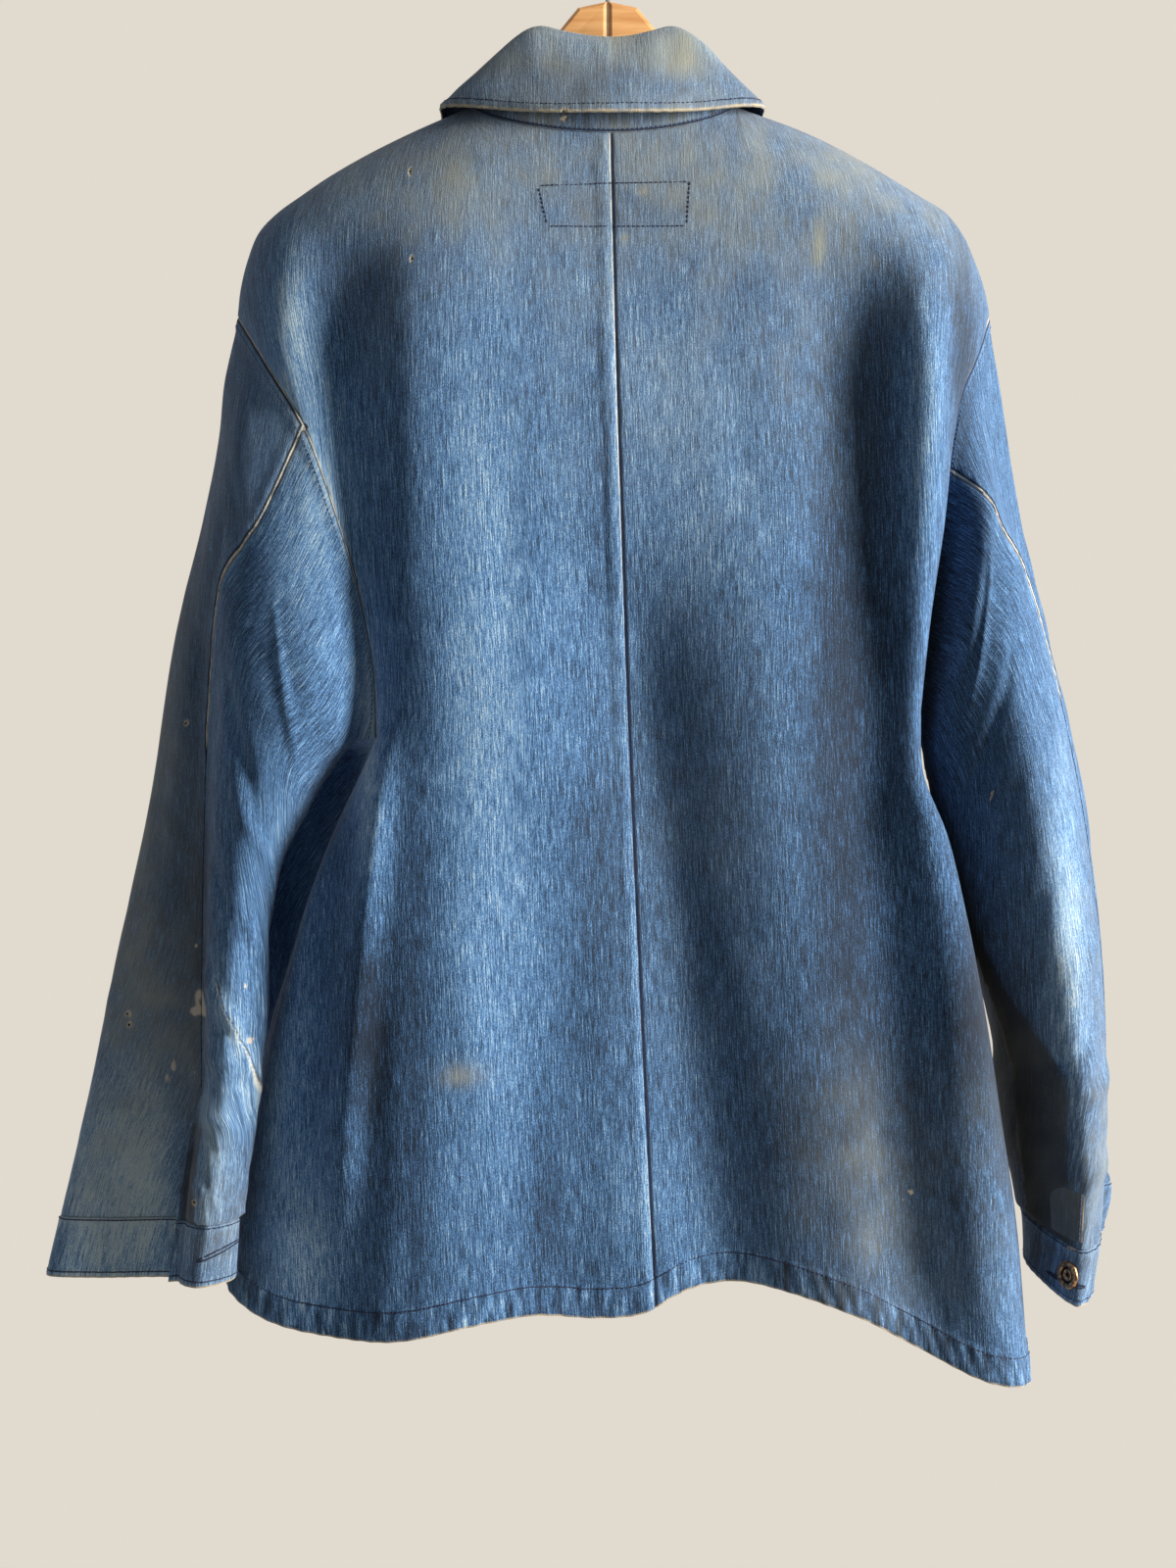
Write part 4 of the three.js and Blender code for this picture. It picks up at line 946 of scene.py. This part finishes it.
def denim_material():
    """Washed indigo twill: pale warp streaks over dark blue, cream where seams are rubbed, and painted
    light and shade.
    """
    _, tree, shader = new_material("Worn denim")

    def maths(operation, a, b=0.0, clamped=False):
        """One sum of two values or sockets."""
        made = add_node(tree, "Math", {0: a, 1: b}, operation=operation, use_clamp=clamped)
        return made.outputs[0]

    def value(name):
        """A mark kept on the cloth."""
        return add_node(tree, "Attribute", attribute_name=name, attribute_type="GEOMETRY").outputs["Fac"]

    def blend(fac, a, b, kind="MIX"):
        """One colour laid over another."""
        made = add_node(tree, "Mix", {"Factor": fac, 6: a, 7: b}, data_type="RGBA", blend_type=kind)
        return made.outputs[2]

    def step(v, low, high, start=0.0, end=1.0):
        """A soft step from start to end."""
        made = add_node(tree, "MapRange", {0: v, 1: low, 2: high, 3: start, 4: end},
                    interpolation_type="SMOOTHSTEP")
        return made.outputs[0]

    grain = add_node(tree, "UVMap", uv_map="grain").outputs[0]

    def streaks(across, down, detail=2.0, rough=0.6, shift=0.0):
        """Uneven streaks of a real width and length in metres."""
        place = add_node(tree, "Mapping", {"Vector": grain, "Location": (shift, shift, 0),
                                       "Scale": (1 / across, 1 / down, 1)}).outputs[0]
        made = add_node(tree, "TexNoise", {"Vector": place, "Scale": 1.0, "Detail": detail,
                                       "Roughness": rough}, noise_dimensions="2D")
        return made.outputs[0]

    thread = streaks(0.0007, 0.016, 1.0, 0.6)
    slub = streaks(0.0021, 0.06, 1.0, 0.6, 3.7)
    cloud = streaks(0.04, 0.08, 2.0, 0.5, 8.1)
    fleck = streaks(0.0008, 0.0011, 1.0, 0.8, 5.3)
    rub = streaks(0.012, 0.012, 3.0, 0.6, 12.9)
    slant = add_node(tree, "Mapping", {"Vector": grain, "Rotation": (0, 0, math.radians(28)),
                                       "Scale": (1 / 0.0009, 1 / 0.004, 1)}, vector_type="POINT").outputs[0]
    twill = add_node(tree, "TexNoise", {"Vector": slant, "Scale": 1.0, "Detail": 1.0},
                     noise_dimensions="2D").outputs[0]

    tone = maths("ADD", maths("MULTIPLY", maths("SUBTRACT", thread, 0.5), 0.95), 0.42)
    for part, share in ((slub, 0.25), (cloud, 0.16), (fleck, 0.75), (twill, 0.45)):
        tone = maths("ADD", tone, maths("MULTIPLY", maths("SUBTRACT", part, 0.5), share))
    # Paler and darker tone: faded dye, and painted light and painted shade standing in for folds and
    # shadows
    tone = maths("ADD", tone, maths("MULTIPLY", value("fade_and_painted_light"), 0.34))
    tone = maths("ADD", tone, step(value("crest"), 1.0, 9.0, 0.16, 0.0))
    # Light and dark streaks in hems, cuffs and stand: roping wear, and painted light and painted shade of
    # the puckers
    band = value("band")
    knock = maths("MULTIPLY", maths("SUBTRACT", streaks(0.006, 0.03, 2.0, 0.6, 21.0), 0.5), 1.1)
    tone = maths("ADD", tone, maths("MULTIPLY", band, knock))
    ramp = add_node(tree, "ValToRGB", {"Fac": tone})
    stops = ((0.0, "121f31"), (0.3, "26405f"), (0.55, "3f6797"), (0.8, "6d93b8"), (1.0, "a3b8c6"))
    elements = ramp.color_ramp.elements
    while len(elements) < len(stops):
        elements.new(0.5)
    for element, (place, code) in zip(elements, stops):
        element.position = place
        element.color = linear(code)
    colour = ramp.outputs[0]
    dirt = maths("MULTIPLY", value("grime"), step(cloud, 0.25, 0.75, 0.34, 0.56), True)
    colour = blend(dirt, colour, linear("7b827e"))
    seam = value("seam")
    dark_line = maths("MULTIPLY", step(seam, 0.7, 1.3, 0.0, 1.0), step(seam, 2.2, 4.0, 0.95, 0.0))
    colour = blend(dark_line, colour, linear("131d35"))
    patchy = step(rub, 0.3, 0.6, 0.3, 1.0)
    rubbed = maths("MULTIPLY", step(value("crest"), 0.4, 1.3, 1.0, 0.0), patchy, True)
    rubbed = maths("MULTIPLY", rubbed, value("rubbed"))
    colour = blend(rubbed, colour, linear("c9c9bf"))
    frayed = step(rub, 0.25, 0.6, 0.3, 0.9)
    edge = maths("MULTIPLY", step(value("edge"), 0.4, 1.8, 1.0, 0.0), frayed, True)
    colour = blend(edge, colour, linear("a39b86"))
    # Dark line along each stitch row: dark thread, and painted shade in the groove the stitching pulls in
    sewn = maths("MULTIPLY", step(value("sewn"), 0.3, 0.9, 1.0, 0.0), step(thread, 0.2, 0.5, 0.45, 0.9))
    colour = blend(sewn, colour, linear("17213a"))
    broken = maths("MULTIPLY", value("speck"), step(rub, 0.3, 0.55, 0.5, 1.15))
    colour = blend(step(broken, 0.45, 0.9, 0.0, 0.8), colour, linear("b9b3a8"))
    hole = value("hole")
    fringe = maths("MULTIPLY", step(hole, 0.2, 0.5), step(fleck, 0.35, 0.6), True)
    colour = blend(fringe, colour, linear("c3bca9"))
    # Near-black middle of each hole: painted shade of the jacket's inside seen through it
    colour = blend(step(hole, 0.62, 0.75), colour, linear("10151f"))

    height = maths("MULTIPLY", thread, 0.00022)
    for part, share in ((fleck, 0.0002), (twill, 0.00012), (rub, 0.0005), (slub, 0.00015)):
        height = maths("ADD", height, maths("MULTIPLY", part, share))
    height = maths("ADD", height, maths("MULTIPLY", step(hole, 0.4, 0.8), -0.002))
    relief = add_node(tree, "Bump", {"Height": height, "Strength": 0.8, "Distance": 1.0}).outputs[0]
    links = {"Base Color": colour, "Normal": relief}
    for key, source in links.items():
        tree.links.new(source, shader.inputs[key])
    shader.inputs["Roughness"].default_value = 0.92
    shader.inputs["Specular IOR Level"].default_value = 0.2
    shader.inputs["Sheen Weight"].default_value = 0.12
    shader.inputs["Sheen Roughness"].default_value = 0.5


def thread_material(name, code, rough=0.8):
    """Plain cotton thread."""
    material, _, shader = new_material(name)
    shader.inputs["Base Color"].default_value = linear(code)
    shader.inputs["Roughness"].default_value = rough
    return material


def wood_material():
    """Pale varnished wood with fine lengthwise grain."""
    material, tree, shader = new_material("Varnished wood")
    place = add_node(tree, "TexCoord").outputs["Object"]
    place = add_node(tree, "Mapping", {"Vector": place, "Scale": (14, 60, 160)}).outputs[0]
    grain = add_node(tree, "TexNoise", {"Vector": place, "Scale": 1.0, "Detail": 4.0, "Roughness": 0.6})
    ramp = add_node(tree, "ValToRGB", {"Fac": grain.outputs[0]})
    for element, (at, code) in zip(ramp.color_ramp.elements, ((0.3, "b98450"), (0.7, "dcb27e"))):
        element.position = at
        element.color = linear(code)
    relief = add_node(tree, "Bump", {"Height": grain.outputs[0], "Strength": 0.1, "Distance": 0.0005})
    tree.links.new(ramp.outputs[0], shader.inputs["Base Color"])
    tree.links.new(relief.outputs[0], shader.inputs["Normal"])
    shader.inputs["Roughness"].default_value = 0.38
    shader.inputs["Coat Weight"].default_value = 0.3
    return material


def metal_material(name, code, rough, worn="d8b48c"):
    """Metal with a darker, rubbed skin."""
    material, tree, shader = new_material(name)
    place = add_node(tree, "TexCoord").outputs["Object"]
    patch = add_node(tree, "TexNoise", {"Vector": place, "Scale": 420.0, "Detail": 3.0})
    ramp = add_node(tree, "ValToRGB", {"Fac": patch.outputs[0]})
    for element, (at, tint) in zip(ramp.color_ramp.elements, ((0.38, code), (0.7, worn))):
        element.position = at
        element.color = linear(tint)
    tree.links.new(ramp.outputs[0], shader.inputs["Base Color"])
    shader.inputs["Metallic"].default_value = 1.0
    shader.inputs["Roughness"].default_value = rough
    return material


# Button section: distance from the middle, height
BUTTON_PROFILE = [
    (0, 0), (2.8, 0), (2.9, 1.2), (6.5, 1.3), (8.3, 1.5), (8.9, 2.0), (9.0, 2.6), (8.7, 3.4),
    (8.0, 3.9), (7.2, 4.1), (6.2, 4.1), (5.6, 3.9), (5.3, 3.2), (5.0, 2.9), (4.2, 2.8), (3.9, 3.0),
    (3.4, 3.3), (2.6, 3.2), (2.2, 2.9), (1.6, 2.8), (1.0, 3.3), (0.4, 3.5), (0, 3.5),
]


def build_button(label, material, dark):
    """A smooth shank button with a rolled rim, in the place of its CAD node."""
    places = np.array([v.co[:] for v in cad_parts[label].data.vertices]) / MM
    centre = places.mean(0)
    way = np.linalg.svd(places - centre)[2][2]
    if way[1] * (1 if "front" in label else -1) < 0:
        way = -way
    base = centre + way * ((places - centre) @ way).min()
    across = np.cross(way, [0, 0, 1.0])
    across /= np.linalg.norm(across)
    over = np.cross(way, across)
    turn = np.linspace(0, 2 * math.pi, 41)[:-1]
    rings = [base + way * h + r * (across * math.cos(a) + over * math.sin(a))
             for r, h in BUTTON_PROFILE[1:-1] for a in turn]
    count = len(BUTTON_PROFILE) - 2
    faces = []
    for i in range(count - 1):
        for k in range(40):
            m = (k + 1) % 40
            faces.append((i * 40 + k, i * 40 + m, i * 40 + 40 + m, i * 40 + 40 + k))
    rings += [base, base + way * 3.5]
    for k in range(40):
        faces.append((k, count * 40, (k + 1) % 40))
        faces.append(((count - 1) * 40 + k, (count - 1) * 40 + (k + 1) % 40, count * 40 + 1))
    made = make_object("shank_" + label, rings, faces, [material, dark])
    for face in made.data.polygons:
        reach = np.array(face.center[:]) / MM - base
        out = np.linalg.norm(reach - way * (reach @ way))
        face.material_index = 1 if 3.9 < out < 5.4 or out < 1.4 else 0
    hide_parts(label)
    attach(made, "root")
    return base, way, across, over


def build_buttonhole(name, centre, way, run, length, material):
    """A worked slot: close thread laid in a loop round it."""
    way, run = np.array(way) / np.linalg.norm(way), np.array(run) / np.linalg.norm(run)
    over = np.cross(way, run)
    rows = []
    turn = np.linspace(0, 2 * math.pi, 60)
    loop = [np.array(centre) + run * (length / 2) * np.sign(math.cos(a)) * abs(math.cos(a)) ** 0.5
            + over * 1.3 * math.sin(a) for a in turn]
    rows.append((np.array(loop), np.tile(way, (60, 1))))
    return stitches(name, rows, material, pitch=0.95, half=0.6, width=0.55)


# Settings and operators
class JacketSettings(bpy.types.PropertyGroup):
    """What a user may set before building."""

    columns: IntProperty(name="Columns", description="Columns over one half of the back",
                         default=150, min=40, max=200)
    rows: IntProperty(name="Rows", description="Rows from the neck to the hem", default=222,
                      min=80, max=300)
    stitch_length: FloatProperty(name="Stitch length", description="Length of one stitch",
                                 default=0.0023, min=0.001, max=0.006, unit="LENGTH")
    key_power: FloatProperty(name="Window light", description="Power of the light on the right",
                             default=175.0, min=0.0, subtype="POWER")
    fill_power: FloatProperty(name="Fill light", description="Power of the light on the left",
                              default=4.0, min=0.0, subtype="POWER")


class JACKET_OT_materials(bpy.types.Operator):
    """Make the denim, thread, wood and metal"""

    bl_idname = "jacket.materials"
    bl_label = "Materials"

    def execute(self, context):
        denim_material()
        thread_material("Navy thread", "1a2440")
        thread_material("Faded thread", "3a5478")
        metal_material("Aged copper", "6e4a38", 0.42)
        metal_material("Copper in shade", "2a1d18", 0.6, "3c2a22")
        wood, wire = wood_material(), metal_material("Plated wire", "c9c5bd", 0.25, "dedbd4")
        for label, made in (("hanger_arm_left", wood), ("hanger_arm_right", wood), ("hanger_hook", wire)):
            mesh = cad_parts[label].data
            mesh.materials.clear()
            mesh.materials.append(made)
        return {"FINISHED"}


class JACKET_OT_body(bpy.types.Operator):
    """Lay the back halves, the fronts and their pockets"""

    bl_idname = "jacket.body"
    bl_label = "Back and fronts"

    def execute(self, context):
        settings = context.scene.jacket
        for side in SIDES:
            build_body(side, -1, settings.columns, settings.rows)
            build_body(side, 1, settings.columns * 3 // 5, settings.rows * 3 // 5)
            build_pocket(side)
        return {"FINISHED"}


class JACKET_OT_sleeves(bpy.types.Operator):
    """Lay both pieces of each sleeve, the cuffs and the slit strips"""

    bl_idname = "jacket.sleeves"
    bl_label = "Sleeves and cuffs"

    def execute(self, context):
        for side in SIDES:
            build_sleeve(side, True, 90, 190)
            build_sleeve(side, False, 70, 190)
            build_cuff(side)
            build_strip(side)
        return {"FINISHED"}


class JACKET_OT_collar(bpy.types.Operator):
    """Lay the collar's stand and leaf"""

    bl_idname = "jacket.collar"
    bl_label = "Collar"

    def execute(self, context):
        build_collar(False)
        build_collar(True)
        return {"FINISHED"}


class JACKET_OT_sewing(bpy.types.Operator):
    """Sew the hem, seams, cuffs, collar and pockets"""

    bl_idname = "jacket.sewing"
    bl_label = "Sewing"

    def execute(self, context):
        half = context.scene.jacket.stitch_length / MM / 2
        navy, faded = bpy.data.materials["Navy thread"], bpy.data.materials["Faded thread"]
        panels = [face + side for face in ("back_", "front_") for side in ("left", "right")]
        sleeves = [part + side for part in ("sleeve_under_", "sleeve_top_") for side in ("left", "right")]
        sides = ("left", "right")
        stitches("sewing_hem", [follow(p, "to_hem", HEM_BAND, 1) for p in panels], navy, half=half)
        stitches("sewing_sides", [follow(f"back_{s}", "side_seam", 3, 0) for s in sides], faded, half=half)
        cuffs = [follow(f"cuff_{s}", mark, at, 1) for mark, at in CUFF_STITCH.items() for s in sides]
        stitches("sewing_cuffs", cuffs, navy, half=half)
        strips = [follow(f"slit_strip_{s}", "run", 1.6, 0) for s in sides]
        stitches("sewing_strips", strips, faded, half=half)
        stitches("sewing_collar", [follow("collar_leaf", "low", COLLAR_STITCH, 1)], navy,
                 half=half, width=0.4)
        stitches("sewing_neck", [follow("collar_stand", "up", 2.4, 1)], faded, half=half)
        stitches("sewing_pockets", [follow(f"pocket_{s}", m, v, a) for s in sides
                                    for m, v, a in (("rim", 2, 0), ("top", 18, 1), ("top", 2, 1))],
                 navy, half=half)
        path = np.array(TAG_STITCHES, float)
        rows = [on_cloth(["back_left", "back_right"], mix(a, b, np.linspace(0, 1, 30)[:, None]))
                for a, b in zip(path[:-1], path[1:])]
        stitches("sewing_tag", rows, navy, half=half * 1.2, width=0.45)
        stitches("sewing_sleeves", [follow(p, "from_arm", 6, 1) for p in sleeves], faded, half=half)
        return {"FINISHED"}


class JACKET_OT_buttons(bpy.types.Operator):
    """Set the buttons and work the buttonholes"""

    bl_idname = "jacket.buttons"
    bl_label = "Buttons"

    def execute(self, context):
        copper, dark = bpy.data.materials["Aged copper"], bpy.data.materials["Copper in shade"]
        navy = bpy.data.materials["Navy thread"]
        labels = [f"button_front_{k}" for k in range(1, 6)] + ["button_cuff_left", "button_cuff_right"]
        for label in labels:
            base, way, across, over = build_button(label, copper, dark)
            if "front" in label:
                centre = base + way * 0.6 + np.array([-6, 0, 0])
                build_buttonhole("buttonhole_" + label[7:], centre, way, [1, 0, 0], 20, navy)
        for side, ends in (("left", [[-264, -892], [-239, -882]]), ("right", [[288, -906], [305, -908]])):
            (x0, z0), (x1, z1) = ends
            turn = np.linspace(0, 2 * math.pi, 90)[:, None]
            way = np.array([[x1 - x0, z1 - z0]]) / 2
            over = np.array([[z0 - z1, x1 - x0]]) / math.hypot(x1 - x0, z1 - z0)
            loop = np.array([[x0 + x1, z0 + z1]]) / 2 + way * np.cos(turn) + over * 1.2 * np.sin(turn)
            stitches("buttonhole_cuff_" + side, [on_cloth(["cuff_" + side], loop)], navy,
                     pitch=0.95, half=0.6, width=0.6)
        return {"FINISHED"}


class JACKET_OT_stage(bpy.types.Operator):
    """Set the pale floor, the soft lights and the camera"""

    bl_idname = "jacket.stage"
    bl_label = "Stage"

    def execute(self, context):
        scene, settings = context.scene, context.scene.jacket
        bpy.ops.mesh.primitive_circle_add(vertices=96, radius=FLOOR_RADIUS, fill_type="NGON",
                                          location=(0, 0, FLOOR_HEIGHT))
        floor = context.object
        floor.name = "floor"
        material, _, shader = new_material("Pale plaster")
        shader.inputs["Base Color"].default_value = linear("bdb9b1")
        shader.inputs["Roughness"].default_value = 0.9
        floor.data.materials.append(material)
        lights = (
            ("window", (2.05, -0.85, -0.1), (0.0, 0.0, -0.6), 0.6, 1.5, settings.key_power, "fff3e4"),
            ("fill", (-1.6, -1.8, -0.2), (0.0, 0.0, -0.55), 1.6, 1.6, settings.fill_power, "e6eefb"),
        )
        for name, place, aim, wide, tall, power, tint in lights:
            data = bpy.data.lights.new(name, "AREA")
            data.shape, data.size, data.size_y, data.energy = "RECTANGLE", wide, tall, power
            data.color = linear(tint)[:3]
            lamp = bpy.data.objects.new(name, data)
            lamp.location = place
            lamp.rotation_euler = (Vector(aim) - Vector(place)).to_track_quat("-Z", "Y").to_euler()
            scene.collection.objects.link(lamp)
        world = bpy.data.worlds.new("Pale room")
        world.use_nodes = True
        room = world.node_tree
        sky = room.nodes["Background"]
        way = add_node(room, "SeparateXYZ", {0: add_node(room, "TexCoord").outputs["Generated"]})
        depth = add_node(room, "MapRange", {0: way.outputs["Y"], 1: -0.35, 2: 0.45, 3: 0.2, 4: 0.82},
                         interpolation_type="SMOOTHSTEP")
        room.links.new(depth.outputs[0], sky.inputs["Strength"])
        sky.inputs["Color"].default_value = linear("f6eee2")
        scene.view_settings.view_transform = "Standard"
        scene.world = world
        data = bpy.data.cameras.new("camera")
        data.lens, data.sensor_width = LENS, 36.0
        camera = bpy.data.objects.new("camera", data)
        camera.location = CAMERA
        camera.rotation_euler = (math.pi / 2, 0, 0)
        scene.collection.objects.link(camera)
        scene.camera = camera
        return {"FINISHED"}


STEPS = (JACKET_OT_materials, JACKET_OT_body, JACKET_OT_sleeves, JACKET_OT_collar, JACKET_OT_sewing,
         JACKET_OT_buttons, JACKET_OT_stage)


class JACKET_PT_panel(bpy.types.Panel):
    """Sidebar panel with the settings and the building steps"""

    bl_label = "Chore jacket"
    bl_idname = "JACKET_PT_panel"
    bl_space_type = "VIEW_3D"
    bl_region_type = "UI"
    bl_category = "Jacket"

    def draw(self, context):
        for name in JacketSettings.__annotations__:
            self.layout.prop(context.scene.jacket, name)
        for step in STEPS:
            self.layout.operator(step.bl_idname)


def register():
    """Adds the settings, steps and panel."""
    for kind in (JacketSettings, *STEPS, JACKET_PT_panel):
        bpy.utils.register_class(kind)
    bpy.types.Scene.jacket = PointerProperty(type=JacketSettings)


def unregister():
    """Takes them away again."""
    del bpy.types.Scene.jacket
    for kind in reversed((JacketSettings, *STEPS, JACKET_PT_panel)):
        bpy.utils.unregister_class(kind)


def main():
    """Builds the whole scene."""
    register()
    for step in STEPS:
        area, name = step.bl_idname.split(".")
        if getattr(getattr(bpy.ops, area), name)() != {"FINISHED"}:
            raise RuntimeError(f"the step {step.bl_label} did not finish")


if __name__ == "__main__":
    main()
